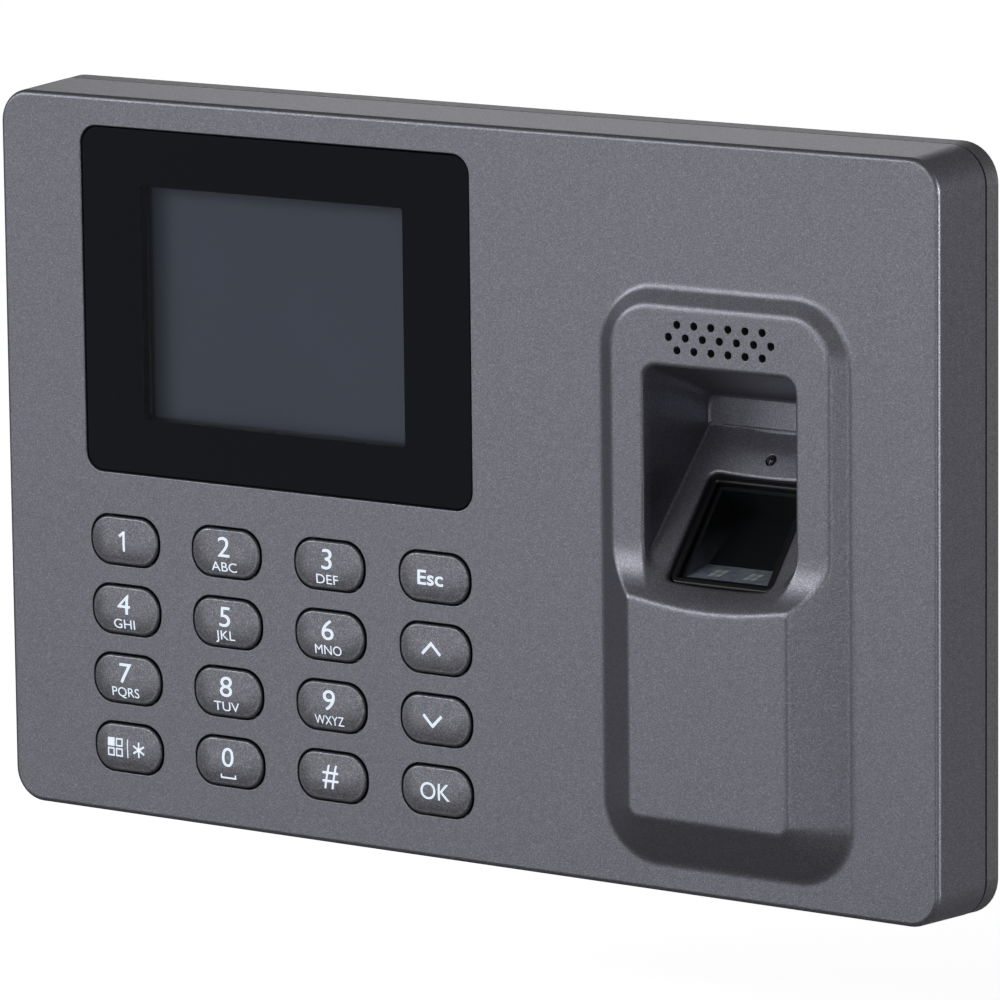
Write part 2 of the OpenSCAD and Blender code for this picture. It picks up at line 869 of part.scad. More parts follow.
module usb_socket() {
    front = box_bottom + box_t + 0.6;
    tongue_front = box_bottom + 4.8;
    color(steel) at_depth() union() {
        difference() {
            translate([usb_x - usb_w / 2, usb_depth - usb_t / 2, front]) cube([usb_w, usb_t, usb_l]);
            translate([usb_x - usb_w / 2 + usb_shell, usb_depth - usb_t / 2 + usb_shell, front - 1])
                cube([usb_w - 2 * usb_shell, usb_t - 2 * usb_shell, usb_l - 1]);
        }
        translate([usb_x - 5.6, usb_depth - usb_t / 2 + 1.2, tongue_front]) cube([11.2, 1.8, usb_l - 4]);
        translate([usb_x - 5.6, main_back, front + 4])
            cube([11.2, usb_depth - usb_t / 2 - main_back + 0.2, usb_l - 5]);
    }
}

module power_jack() {
    front = box_bottom + box_t + 0.6;
    pin_front = box_bottom + 4.8;
    color(black) at_depth() union() {
        difference() {
            translate([jack_x - jack_w / 2, jack_depth - jack_t / 2, front]) cube([jack_w, jack_t, jack_l]);
            translate([jack_x, jack_depth, front - 1]) cylinder(h = jack_l - 1, r = jack_bore);
        }
        translate([jack_x, jack_depth, pin_front]) cylinder(h = jack_l - 4, r = 1);
    }
}

module lock_insert() {
    color(brass) at_depth() translate([0, lock_y + total_depth, box_bottom]) difference() {
        cylinder(h = insert_l, r = insert_r);
        translate([0, 0, -1]) cylinder(h = insert_l + 2, r = lock_r);
    }
}

module tamper_switch() {
    color(black) at_depth() translate([tamper_x - 3, main_back, tamper_z - 3]) cube([6, 3.4, 6]);
}

module tamper_plunger() {
    tip = total_depth - bracket_t - tamper_gap;
    flange = box_back - box_t - 0.3;
    color([0.85, 0.85, 0.85]) at_depth() translate([tamper_x, 0, tamper_z]) union() {
        along_depth(main_back + 3.4 + tamper_travel + 0.1, tip, tamper_r);
        along_depth(flange - 1, flange, tamper_r + 1);
    }
}

module reset_switch() {
    color(black) at_depth() translate([reset_x - 3, main_back, box_bottom + 7]) cube([6, 5, 4]);
}

module reset_button() {
    color([0.85, 0.85, 0.85]) at_depth() translate([reset_x, reset_depth, 0]) union() {
        translate([0, 0, box_bottom + 0.5]) cylinder(h = 6.5 - 0.1 - reset_travel, r = 1.4);
        translate([0, 0, box_bottom + box_t + 0.3]) cylinder(h = 1, r = 2.3);
    }
}

// ---------- wall bracket ----------

module bracket_hook() {
    tongue_from = box_back - box_t - 0.25 - hook_t;
    translate([-hook_w / 2, tongue_from, hook_z])
        cube([hook_w, total_depth - bracket_t - tongue_from + eps, hook_neck]);
    translate([-hook_w / 2, tongue_from, hook_z]) cube([hook_w, hook_t, hook_tongue]);
}

module wall_bracket() {
    mid_z = (bracket_top + bracket_bottom) / 2;
    color(steel) at_depth() union() {
        difference() {
            slab(total_depth - bracket_t, total_depth)
                translate([0, mid_z]) rounded_square(bracket_w, bracket_top - bracket_bottom, 4);
            for (sx = [-1, 1], sz = [-1, 1])
                translate([sx * wall_hole_x / 2, 0, sz * wall_hole_z / 2])
                    along_depth(total_depth - 5, total_depth + 1, wall_hole_r);
        }
        for (sx = [-1, 1]) translate([sx * hook_x, 0, 0]) bracket_hook();
        difference() {
            translate([-tab_w / 2, total_depth - tab_y, bracket_bottom])
                cube([tab_w, tab_y, -bracket_bottom + box_bottom - tab_gap]);
            translate([0, lock_y + total_depth, bracket_bottom - 1]) cylinder(h = 5, r = lock_r + 0.2);
        }
    }
}

wall_bracket();
front_cover();
rear_cover();
cover_seal();
cover_screws();
display_lens();
lens_tape();
lcd_glass();
lcd_frame();
lcd_backlight();
lcd_ribbon();
keypad_mat();
key_cap(0, 0);  // key_1
key_cap(0, 1);  // key_2
key_cap(0, 2);  // key_3
key_cap(0, 3);  // key_esc
key_cap(1, 0);  // key_4
key_cap(1, 1);  // key_5
key_cap(1, 2);  // key_6
key_cap(1, 3);  // key_up
key_cap(2, 0);  // key_7
key_cap(2, 1);  // key_8
key_cap(2, 2);  // key_9
key_cap(2, 3);  // key_down
key_cap(3, 0);  // key_menu
key_cap(3, 1);  // key_0
key_cap(3, 2);  // key_hash
key_cap(3, 3);  // key_ok
key_domes();
key_board();
key_board_screws();
main_board();
main_chips();
board_screws();
board_link();
sensor_housing();
sensor_gasket();
sensor_prism();
sensor_lights();
sensor_lens();
sensor_board();
sensor_screws();
sensor_cable();
proximity_led();
speaker();
speaker_seal();
speaker_mesh();
usb_socket();
power_jack();
lock_insert();
backup_cell();
cell_holder();
tamper_switch();
tamper_plunger();
reset_switch();
reset_button();
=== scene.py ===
import math

import bmesh
import bpy
import numpy as np
from mathutils import Matrix, Vector
from mathutils.geometry import delaunay_2d_cdt


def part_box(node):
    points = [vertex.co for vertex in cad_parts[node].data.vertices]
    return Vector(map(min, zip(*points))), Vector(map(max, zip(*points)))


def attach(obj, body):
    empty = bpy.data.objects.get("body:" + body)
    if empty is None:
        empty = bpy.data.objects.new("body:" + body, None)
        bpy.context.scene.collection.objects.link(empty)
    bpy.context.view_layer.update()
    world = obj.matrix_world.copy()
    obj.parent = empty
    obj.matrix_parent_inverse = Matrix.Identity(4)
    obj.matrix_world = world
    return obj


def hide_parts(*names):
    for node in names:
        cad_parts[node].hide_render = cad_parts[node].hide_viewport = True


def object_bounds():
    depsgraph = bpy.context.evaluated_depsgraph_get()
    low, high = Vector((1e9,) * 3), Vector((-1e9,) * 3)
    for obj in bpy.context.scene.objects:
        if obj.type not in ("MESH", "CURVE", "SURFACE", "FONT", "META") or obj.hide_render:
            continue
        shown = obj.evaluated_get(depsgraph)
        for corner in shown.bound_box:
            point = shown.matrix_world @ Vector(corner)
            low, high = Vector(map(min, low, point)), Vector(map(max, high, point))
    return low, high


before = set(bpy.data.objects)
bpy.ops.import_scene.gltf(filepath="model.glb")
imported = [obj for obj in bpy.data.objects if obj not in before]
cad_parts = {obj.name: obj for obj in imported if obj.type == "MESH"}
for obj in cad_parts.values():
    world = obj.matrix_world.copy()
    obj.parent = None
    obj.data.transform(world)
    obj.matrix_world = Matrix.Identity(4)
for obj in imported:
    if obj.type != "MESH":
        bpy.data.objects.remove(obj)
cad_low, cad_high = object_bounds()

# Lengths are millimetres in the CAD frame (X right, Y into the wall, Z up) until a mesh is made.
MM = 0.001


def low(node):
    return np.array(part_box(node)[0]) / MM


def high(node):
    return np.array(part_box(node)[1]) / MM


def middle(node):
    return (low(node) + high(node)) / 2


def size(node):
    return high(node) - low(node)


# ---------- places, from the frame ----------

WALL = 2.2                                  # thickness of the front cover
LENS_SINK = 0.25                            # the lens lies this far below the front face
FACE_Y = low("display_lens")[1] - LENS_SINK
SEAM_DEPTH = low("cover_seal")[1] - FACE_Y
SEAL_INSET = 0.5
DRAFT = 0.85 / 15.4                         # how fast the sides spread with depth
OUTLINE_W = size("cover_seal")[0] + 2 * (SEAL_INSET - DRAFT * SEAM_DEPTH)
OUTLINE_H = size("cover_seal")[2] + 2 * (SEAL_INSET - DRAFT * SEAM_DEPTH)
OUTLINE_R = 5.2
EDGE_R = 0.85                               # rounding of the cover's front edge

LENS_MID = middle("display_lens")
LENS_W, LENS_T, LENS_H = size("display_lens")
LENS_R, LENS_GAP = 3.0, 0.15
SEAT_DEPTH = 1.3                            # the seat of the display stands this far behind the wall
WINDOW_MID = middle("lcd_glass")
WINDOW_W, WINDOW_H, WINDOW_R = 50.0, 36.7, 0.5
LENS_EDGE = 0.18
ACTIVE_W, ACTIVE_H = 48.96, 36.72           # lit area of a 2.4 inch panel
ACTIVE_SHIFT = -0.9                         # the lit area sits a little left of the window

KEYS = ["key_1", "key_2", "key_3", "key_esc", "key_4", "key_5", "key_6", "key_up",
        "key_7", "key_8", "key_9", "key_down", "key_menu", "key_0", "key_hash", "key_ok"]
KEY_HOLE_W, KEY_HOLE_H = 13.6, 8.15
KEY_HOLE_R = KEY_HOLE_H / 2 - 0.4
KEY_HOLE_EDGE = 0.12                        # rounding round each opening
KEY_GAP = 0.31                              # clear gap round a key
KEY_W, KEY_H = KEY_HOLE_W - 2 * KEY_GAP, KEY_HOLE_H - 2 * KEY_GAP
KEY_R = KEY_H / 2 - 0.25
KEY_PROUD = FACE_Y - low("key_1")[1]
KEY_EDGE_R, KEY_CROWN = 0.42, 0.3
KEY_FLANGE, KEY_FLANGE_T = 0.65, 0.8        # the lip behind the cover that holds a key in
KEY_FLANGE_Y = FACE_Y + WALL + 0.15
KEY_STEM_R = 2.0
LEGEND_T = 0.05                             # thickness of the print on the keys
LETTER_STRETCH = 1.2
DIGIT_H, LETTERS_H = 3.25, 1.55             # sizes of the print on the number keys
DIGIT_Z, LETTERS_Z = 1.0, -2.15
LEGEND_SHIFT = -0.1
LINE = 0.42                                 # stroke width of the drawn signs

# finger scanner: the raised guide, its sloped finger rest and its recess
GUIDE_X = middle("sensor_gasket")[0]
GUIDE_Z = -8.7
GUIDE_W, GUIDE_H, GUIDE_R = 43.9, 87.3, 9.6
GUIDE_RUN = 7.9                             # how far the guide's flank slopes in to the finger rest
REST_RISE = FACE_Y - low("front_cover")[1]
FRAME_RISE = 2.0
TILT = math.radians(40.5)
TOE_Z = -11.1                               # where the finger slope starts, at the rest's front
RECESS_W, RECESS_TOP, RECESS_DEPTH = 27.0, 23.4, 14.0
RECESS_DRAFT, CEILING_DROP = 1.2, 6.4
BACK_GAP, BACK_LOW = 1.2, 12.3              # under this height the recess's back is set further in
GROOVE_HALF_W, GROOVE_AT_TOE, GROOVE_AT_SENSOR = 12.7, 0.82, 1.75
GROOVE_FULL_U = 7.0                         # up the slope, the groove reaches its depth here
GROOVE_FADE_U = (21, 28)                    # and gets shallower between these two
REST_EDGE, GUIDE_FILLET = 0.38, 0.45        # rounding of the rest's edges and of the guide's foot
RECESS_CORNER, RECESS_BACK_FILLET = 2.8, 0.5
FRAME_EDGE, CREST_EDGE = 0.5, 0.4
CHEEK_SOFT, SLOPE_SOFT = 2.7, 0.3           # the cheeks are soft in front and crisp inside
CHEEK_FROM, CHEEK_TO = -2.6, 0.4
CUT_DEPTH = 6.0                             # the holes in the slope are cut this far under it

# sensor window, its light and the speaker holes, placed on the slope or on the upper frame
GASKET_W, GASKET_L, GASKET_U, GASKET_SINK = 18.4, 19.0, 4.0, 1.45
GASKET_RIM, GASKET_R = 1.3, 1.5
GASKET_GAP, GASKET_EDGE = 0.08, 0.55
WELL_DEPTH, WELL_RISE = 4.0, 4.6            # the well's lower wall slants by this much
PATCH_SPACING, PATCH_SIZE = 6.2, 1.0        # two groups of four small lights on that wall
LED_U, LED_R = 26.2, 0.85
LED_GAP, LED_DOME = 0.12, 0.45              # gap round the light, and its height as a share of its radius
SPEAKER_X = middle("speaker")[0]
HOLES_Z = 27.8
HOLE_R, HOLE_PITCH_X, HOLE_PITCH_Z = 0.58, 3.0, 1.9
HOLE_EDGE = 0.12

# grid of the scanner's surface: cell sizes along width, depth and height, far from and near to its edges
COARSE, FINE = (0.8, 0.5, 0.9), (0.36, 0.33, 0.36)
FINEST = 0.16                               # cell size round the proximity light
GRID_MARGIN, GRID_MARGIN_DEPTH, GRID_REACH = 1.9, 0.8, 0.8
SCANNER_EDGES_X = (GUIDE_W / 2, 19.3, 14, 13, 9.3)    # guide, upper frame, rest, recess, gasket
SCANNER_EDGES_Z = (GUIDE_Z - GUIDE_H / 2, -44.4, 32, GUIDE_Z + GUIDE_H / 2)
SLOPE_HEIGHTS = (-13, 24.5, 1.5)            # the finger slope is fine all the way up


# ---------- camera, lights, floor ----------

CAMERA_AZIMUTH = math.radians(35.15)
CAMERA_ELEVATION = math.radians(10.08)
CAMERA_ROLL = math.radians(-0.66)
CAMERA_DISTANCE = 1127.0
CAMERA_TARGET = np.array([8.7, FACE_Y, 0.1])
CAMERA_LENS = 269.0
LIGHT_DISTANCE, LIGHT_WIDTH, LIGHT_HEIGHT = 1.6, 0.6, 0.45


def add_camera():
    a, e = CAMERA_AZIMUTH, CAMERA_ELEVATION
    back = Vector((math.sin(a) * math.cos(e), -math.cos(a) * math.cos(e), math.sin(e)))
    right = Vector((math.cos(a), math.sin(a), 0))
    up = back.cross(right)
    turned_right = right * math.cos(CAMERA_ROLL) + up * math.sin(CAMERA_ROLL)
    turned_up = back.cross(turned_right)
    data = bpy.data.cameras.new("camera")
    data.lens = CAMERA_LENS
    data.sensor_width = 36
    data.clip_end = 20
    cam = bpy.data.objects.new("camera", data)
    cam.matrix_world = Matrix.Translation((Vector(CAMERA_TARGET) + back * CAMERA_DISTANCE) * MM) \
        @ Matrix((turned_right, turned_up, back)).transposed().to_4x4()
    bpy.context.scene.collection.objects.link(cam)
    bpy.context.scene.camera = cam


def add_softbox(name, azimuth, elevation, power):
    """A rectangular area light that faces the object. Azimuth 0 is straight in front, 90 to its right."""
    a, e = math.radians(azimuth), math.radians(elevation)
    back = Vector((math.sin(a) * math.cos(e), -math.cos(a) * math.cos(e), math.sin(e)))
    data = bpy.data.lights.new(name, "AREA")
    data.shape = "RECTANGLE"
    data.size = LIGHT_WIDTH
    data.size_y = LIGHT_HEIGHT
    data.energy = power
    light = bpy.data.objects.new(name, data)
    light.rotation_mode = "QUATERNION"
    light.location = back * LIGHT_DISTANCE
    light.rotation_quaternion = back.to_track_quat("Z", "Y")
    bpy.context.scene.collection.objects.link(light)


def add_lights():
    bpy.context.scene.view_settings.view_transform = "Standard"
    world = bpy.data.worlds.new("studio")
    world.use_nodes = True
    world.node_tree.nodes["Background"].inputs["Color"].default_value = (1, 1, 1, 1)
    world.node_tree.nodes["Background"].inputs["Strength"].default_value = 0.10
    bpy.context.scene.world = world
    add_softbox("key_light", -50, 18, 4.1)
    add_softbox("key_light_high", -24, 28, 3.0)
    add_softbox("key_light_right", 10, 20, 1.4)
    add_softbox("front_fill", -8, 2, 1.9)
    add_softbox("front_fill_low", -35, -10, 1.0)
    add_softbox("right_fill", 33, -7, 1.8)
    add_softbox("right_side_light", 95, 5, 11.4)
    add_softbox("back_light", -148, 16, 0.9)
    add_softbox("rear_light", -160, -12, 12.0)


def add_floor():
    """A plain pale floor. The camera sees it, and it leaves the reflections in the object alone."""
    half, height = 30.0, cad_low[2] - 0.03
    mesh = bpy.data.meshes.new("floor")
    mesh.from_pydata([(-half, -half, height), (half, -half, height), (half, half, height),
                      (-half, half, height)], [], [(0, 1, 2, 3)])
    floor = bpy.data.objects.new("floor", mesh)
    material = new_material("floor_white", (0.9, 0.9, 0.9), 0.8, Emission_Strength=0.8)
    material.node_tree.nodes["Principled BSDF"].inputs["Emission Color"].default_value = (1, 1, 1, 1)
    mesh.materials.append(add_grain(material, 40, 0.01, 0.02))
    floor.visible_glossy = False
    floor.visible_diffuse = False
    floor.visible_transmission = False
    bpy.context.scene.collection.objects.link(floor)


# ---------- meshes ----------

class Sheet:
    """Collects points, their normals and faces, each face with a material number."""

    def __init__(self):
        self.points, self.normals, self.faces, self.slots = [], [], [], []

    def add_points(self, points, normals):
        start = len(self.points)
        self.points.extend(np.asarray(points, float).tolist())
        self.normals.extend(np.asarray(normals, float).tolist())
        return list(range(start, len(self.points)))

    def add_faces(self, faces, slot=0):
        self.faces.extend([tuple(int(i) for i in f) for f in faces])
        self.slots.extend([slot] * len(faces))

    def add_ring_band(self, first, second, slot=0):
        n = len(first)
        self.add_faces([(first[i], first[(i + 1) % n], second[(i + 1) % n], second[i])
                        for i in range(n)], slot)

    def turn_outward(self):
        """Turns each face so that its front is on the side that its points' normals name."""
        points, normals = np.array(self.points), np.array(self.normals)
        for corner_count in (3, 4):
            chosen = [i for i, f in enumerate(self.faces) if len(f) == corner_count]
            if not chosen:
                continue
            corners = np.array([self.faces[i] for i in chosen])
            p = points[corners]
            across = np.cross(p[:, 2] - p[:, 0], p[:, -1] - p[:, 1])
            wrong = (across * normals[corners].sum(axis=1)).sum(axis=1) < 0
            for i in np.array(chosen)[wrong]:
                self.faces[i] = self.faces[i][::-1]

    def make(self, name, materials):
        self.turn_outward()
        mesh = bpy.data.meshes.new(name)
        mesh.from_pydata((np.array(self.points) * MM).tolist(), [], self.faces)
        for polygon, slot in zip(mesh.polygons, self.slots):
            polygon.material_index = slot
            polygon.use_smooth = True
        for material in materials:
            mesh.materials.append(material)
        mesh.normals_split_custom_set_from_vertices(self.normals)
        mesh.validate(clean_customdata=False)
        piece = bpy.data.objects.new(name, mesh)
        bpy.context.scene.collection.objects.link(piece)
        return piece


def rounded_outline(w, h, r, x, z, steps):
    """Points round a rounded rectangle in the XZ plane, and the outward direction at each."""
    r = max(r, 0.01)
    points, outward = [], []
    for corner, (sx, sz) in enumerate([(1, 1), (-1, 1), (-1, -1), (1, -1)]):
        for i in range(steps + 1):
            angle = math.pi / 2 * (corner + i / steps)
            direction = (math.cos(angle), math.sin(angle))
            points.append((x + sx * (w / 2 - r) + r * direction[0],
                           z + sz * (h / 2 - r) + r * direction[1]))
            outward.append(direction)
    return np.array(points), np.array(outward)


def add_profile(sheet, w, h, r, x, z, profile, steps, slot=0):
    """Sweeps a profile round a rounded rectangle. Each row is (outward offset, y, normal out, normal y).
    Returns the first and the last ring."""
    rings = []
    for offset, y, n_out, n_y in profile:
        points, outward = rounded_outline(w + 2 * offset, h + 2 * offset, r + offset, x, z, steps)
        ring_points = np.c_[points[:, 0], np.full(len(points), y), points[:, 1]]
        ring_normals = np.c_[outward[:, 0] * n_out, np.full(len(points), n_y), outward[:, 1] * n_out]
        rings.append(sheet.add_points(ring_points, ring_normals))
    for a, b in zip(rings, rings[1:]):
        sheet.add_ring_band(a, b, slot)
    return rings[0], rings[-1]


def inside_loop(points, loop):
    """Which of the points lie inside a closed loop."""
    x, z = points[:, 0], points[:, 1]
    result = np.zeros(len(points), bool)
    for (x0, z0), (x1, z1) in zip(loop, np.roll(loop, -1, axis=0)):
        crosses = (z0 > z) != (z1 > z)
        if z0 != z1:
            result ^= crosses & (x < (x1 - x0) * (z - z0) / (z1 - z0) + x0)
    return result


def add_flat(sheet, y, loops, facing=-1, slot=0):
    """Fills the flat area between an outer loop and its holes. Loops are lists of point numbers."""
    numbers = [i for loop in loops for i in loop]
    flat = np.array([(sheet.points[i][0], sheet.points[i][2]) for i in numbers])
    edges, start = [], 0
    for loop in loops:
        n = len(loop)
        edges += [(start + i, start + (i + 1) % n) for i in range(n)]
        start += n
    made, _, faces, origin, _, _ = delaunay_2d_cdt([Vector(p) for p in flat], edges, [], 0, 1e-6)
    made = np.array([tuple(p) for p in made])
    centres = np.array([made[list(f)].mean(axis=0) for f in faces])
    keep = np.zeros(len(faces), bool)
    for loop in loops:
        keep ^= inside_loop(centres, np.array([(sheet.points[i][0], sheet.points[i][2]) for i in loop]))
    own = sheet.add_points(np.c_[made[:, 0], np.full(len(made), y), made[:, 1]],
                           np.tile((0, facing, 0), (len(made), 1)))
    kept = [[own[i] for i in f] for f, k in zip(faces, keep) if k]
    if facing > 0:
        kept = [f[::-1] for f in kept]
    sheet.add_faces(kept, slot)


# ---------- materials ----------

def new_material(name, colour, roughness, metallic=0.0, **sockets):
    material = bpy.data.materials.new(name)
    material.use_nodes = True
    shader = material.node_tree.nodes["Principled BSDF"]
    shader.inputs["Base Color"].default_value = (*colour, 1)
    shader.inputs["Roughness"].default_value = roughness
    shader.inputs["Metallic"].default_value = metallic
    for socket, value in sockets.items():
        shader.inputs[socket.replace("_", " ")].default_value = value
    return material


def add_ramp(tree, source, stops):
    """Lets a value choose the material's colour, through stops of (position, colour)."""
    ramp = tree.nodes.new("ShaderNodeValToRGB")
    elements = ramp.color_ramp.elements
    for number, (position, colour) in enumerate(stops):
        stop = elements[number] if number < 2 else elements.new(position)
        stop.position = position
        stop.color = (*np.minimum(colour, 1), 1)
    tree.links.new(source, ramp.inputs["Fac"])
    tree.links.new(ramp.outputs["Color"], tree.nodes["Principled BSDF"].inputs["Base Color"])


def add_spread(tree, source, lowest, highest):
    """Lets a value choose the material's roughness, between two ends."""
    spread = tree.nodes.new("ShaderNodeMapRange")
    spread.inputs["To Min"].default_value = lowest
    spread.inputs["To Max"].default_value = highest
    tree.links.new(source, spread.inputs["Value"])
    tree.links.new(spread.outputs["Result"], tree.nodes["Principled BSDF"].inputs["Roughness"])


def add_relief(tree, source, strength, depth):
    """Raises a fine relief with a value."""
    relief = tree.nodes.new("ShaderNodeBump")
    relief.inputs["Strength"].default_value = strength
    relief.inputs["Distance"].default_value = depth * MM
    tree.links.new(source, relief.inputs["Height"])
    tree.links.new(relief.outputs["Normal"], tree.nodes["Principled BSDF"].inputs["Normal"])


def add_noise(tree, place, grain, detail):
    noise = tree.nodes.new("ShaderNodeTexNoise")
    noise.inputs["Scale"].default_value = 1 / (grain * MM)
    noise.inputs["Detail"].default_value = detail
    tree.links.new(place, noise.inputs["Vector"])
    return noise.outputs["Fac"]


def add_grain(material, grain, colour_change, rough_change, bump=0.0, stretch=(1, 1, 1)):
    """Varies colour and roughness, and raises a fine relief, with noise whose grain is in millimetres."""
    tree = material.node_tree
    shader = tree.nodes["Principled BSDF"]
    place = tree.nodes.new("ShaderNodeTexCoord")
    mapping = tree.nodes.new("ShaderNodeMapping")
    mapping.inputs["Scale"].default_value = stretch
    tree.links.new(place.outputs["Object"], mapping.inputs["Vector"])
    noise = add_noise(tree, mapping.outputs["Vector"], grain, 3)
    base = np.array(shader.inputs["Base Color"].default_value[:3])
    rough = shader.inputs["Roughness"].default_value
    add_ramp(tree, noise, [(0.3, base * (1 - colour_change)), (0.7, base * (1 + colour_change))])
    add_spread(tree, noise, max(rough - rough_change, 0.02), min(rough + rough_change, 1))
    if bump:
        add_relief(tree, noise, bump, grain * 0.3)
    return material


def paint_shade_upward(material, bottom, top):
    """Paints shade into a material: its colour fades to black between two heights, with a little
    unevenness.
    """
    add_grain(material, 1.5, 0.25, 0.08)
    tree = material.node_tree
    shader = tree.nodes["Principled BSDF"]
    place = tree.nodes.new("ShaderNodeTexCoord")
    split = tree.nodes.new("ShaderNodeSeparateXYZ")
    fade = tree.nodes.new("ShaderNodeMapRange")
    fade.inputs["From Min"].default_value = bottom * MM
    fade.inputs["From Max"].default_value = top * MM
    fade.inputs["To Min"].default_value = 1
    fade.inputs["To Max"].default_value = 0.03
    mix = tree.nodes.new("ShaderNodeMix")
    mix.data_type = "RGBA"
    colour = shader.inputs["Base Color"].links[0].from_socket
    black, uneven = [i for i in mix.inputs if i.type == "RGBA"]
    black.default_value = (0, 0, 0, 1)
    tree.links.new(place.outputs["Object"], split.inputs["Vector"])
    tree.links.new(split.outputs["Z"], fade.inputs["Value"])
    tree.links.new(fade.outputs["Result"], mix.inputs["Factor"])
    tree.links.new(colour, uneven)
    tree.links.new([o for o in mix.outputs if o.type == "RGBA"][0], shader.inputs["Base Color"])
    return material


def metallic_paint(name, colour, roughness, sparkle, grain=0.16, bump=0.35):
    """Grey paint with fine metal flakes: each flake is a small cell with its own brightness."""
    material = new_material(name, colour, roughness, metallic=0.85)
    tree = material.node_tree
    place = tree.nodes.new("ShaderNodeTexCoord").outputs["Object"]
    cells = tree.nodes.new("ShaderNodeTexVoronoi")
    cells.inputs["Scale"].default_value = 1 / (grain * MM)
    tree.links.new(place, cells.inputs["Vector"])
    split = tree.nodes.new("ShaderNodeSeparateColor")
    tree.links.new(cells.outputs["Color"], split.inputs["Color"])
    base = np.array(colour)
    add_ramp(tree, split.outputs["Red"], [(0.0, base * (1 - sparkle)), (1.0, base * (1 + 1.6 * sparkle)),
                                          (0.8, base * (1 + 0.25 * sparkle))])
    add_spread(tree, split.outputs["Green"], roughness - 0.06, roughness + 0.06)
    add_relief(tree, add_noise(tree, place, 0.22, 2), bump, 0.05)
    return material


COVER_PAINT = metallic_paint("cover_paint", (0.282, 0.283, 0.326), 0.41, 0.26, 0.13)
REAR_PAINT = metallic_paint("rear_paint", (0.270, 0.268, 0.288), 0.44, 0.18)
KEY_PAINT = metallic_paint("key_paint", (0.270, 0.272, 0.306), 0.36, 0.36, 0.14, 0.3)
# The print's material glows faintly bluish: painted light that brightens the white print.
LEGEND_PRINT_GLOW = add_grain(new_material("legend_print_painted_glow", (0.84, 0.90, 0.96), 0.5, Emission_Strength=0.6),
                         0.15, 0.03, 0.05)
LEGEND_SHADER = LEGEND_PRINT_GLOW.node_tree.nodes["Principled BSDF"]
LEGEND_SHADER.inputs["Emission Color"].default_value = (0.74, 0.85, 1.0, 1)
LENS_BLACK = add_grain(new_material("lens_black", (0.002, 0.003, 0.008), 0.08,
                                    Specular_IOR_Level=0.07), 6, 0.05, 0.01)
CLEAR_PANE = add_grain(new_material("clear_pane", (0.006, 0.008, 0.012), 0.05, Alpha=0.2,
                                    Specular_IOR_Level=0.3), 8, 0.1, 0.01)
LCD_ACTIVE = add_grain(new_material("lcd_active", (0.142, 0.178, 0.272), 0.35), 30, 0.05, 0.02)
LCD_BORDER = add_grain(new_material("lcd_border", (0.115, 0.112, 0.130), 0.45), 2, 0.08, 0.03)
GASKET_RUBBER = add_grain(new_material("gasket_rubber", (0.005, 0.005, 0.007), 0.30), 0.3, 0.1, 0.03, 0.02)
SEAL_RUBBER = add_grain(new_material("seal_rubber", (0.010, 0.010, 0.010), 0.8), 0.4, 0.2, 0.05, 0.2)
BLACK_PLASTIC = add_grain(new_material("black_plastic", (0.018, 0.018, 0.020), 0.5), 0.4, 0.15, 0.06, 0.2)
ZINC = add_grain(new_material("zinc_plate", (0.58, 0.60, 0.62), 0.34, 0.9), 3, 0.10, 0.08, 0.05, (1, 1, 4))
STEEL = add_grain(new_material("bright_steel", (0.62, 0.62, 0.63), 0.28, 1.0), 1.2, 0.08, 0.06, 0.05)
BRASS = add_grain(new_material("brass", (0.68, 0.48, 0.18), 0.3, 1.0), 0.8, 0.08, 0.06, 0.05)
BOARD_GREEN = add_grain(new_material("board_green", (0.014, 0.10, 0.045), 0.35, Coat_Weight=0.3),
                        0.8, 0.18, 0.05, 0.06)
CHIP_BLACK = add_grain(new_material("chip_black", (0.02, 0.02, 0.022), 0.6), 0.2, 0.2, 0.06, 0.2)
FLEX_FILM = add_grain(new_material("flex_film", (0.46, 0.25, 0.07), 0.35), 1.5, 0.10, 0.06, 0.05)
WHITE_CABLE = add_grain(new_material("white_cable", (0.72, 0.72, 0.69), 0.45), 0.6, 0.05, 0.05, 0.08)
WHITE_PLASTIC = add_grain(new_material("white_plastic", (0.75, 0.75, 0.72), 0.42), 0.5, 0.04, 0.05, 0.1)
KEY_BLACK = add_grain(new_material("key_black", (0.006, 0.006, 0.007), 0.5), 0.4, 0.15, 0.06, 0.2)
MAT_RUBBER = add_grain(new_material("mat_rubber", (0.05, 0.05, 0.053), 0.7), 0.4, 0.12, 0.05, 0.2)
MESH_CLOTH = add_grain(new_material("mesh_cloth", (0.012, 0.012, 0.013), 0.9), 0.25, 0.4, 0.05, 0.5)
DARK_CLEAR = add_grain(new_material("dark_clear", (0.02, 0.02, 0.028), 0.08, Coat_Weight=1.0),
                       0.5, 0.1, 0.03)
LIGHT_WHITE = add_grain(new_material("light_white", (0.85, 0.9, 1.0), 0.4), 0.6, 0.04, 0.05)
PRISM_GLASS = add_grain(new_material("prism_glass", (0.01, 0.012, 0.014), 0.04, Alpha=0.15), 5, 0.1, 0.01)
WELL_DARK = add_grain(new_material("well_dark", (0.010, 0.011, 0.013), 0.4), 0.8, 0.2, 0.05)
# Painted shade on the well's left wall: grey near its foot, fading to black higher up.
WELL_SHADED_GREY = paint_shade_upward(new_material("well_grey_painted_shade", (0.15, 0.17, 0.20), 0.35), -8.5, -2.0)
WELL_PALE = add_grain(new_material("well_pale", (0.38, 0.43, 0.52), 0.35), 1.2, 0.25, 0.08)
WELL_LIGHT = add_grain(new_material("well_light", (0.85, 0.92, 1.0), 0.5), 0.6, 0.1, 0.05)


# ---------- smooth solids from distance functions ----------

def smooth_max(a, b, k):
    """The larger of two distances, rounded over k where they are close."""
    h = np.maximum(k - np.abs(a - b), 0) / k
    return np.maximum(a, b) + h * h * k / 4


def smooth_min(a, b, k):
    return -smooth_max(-a, -b, k)


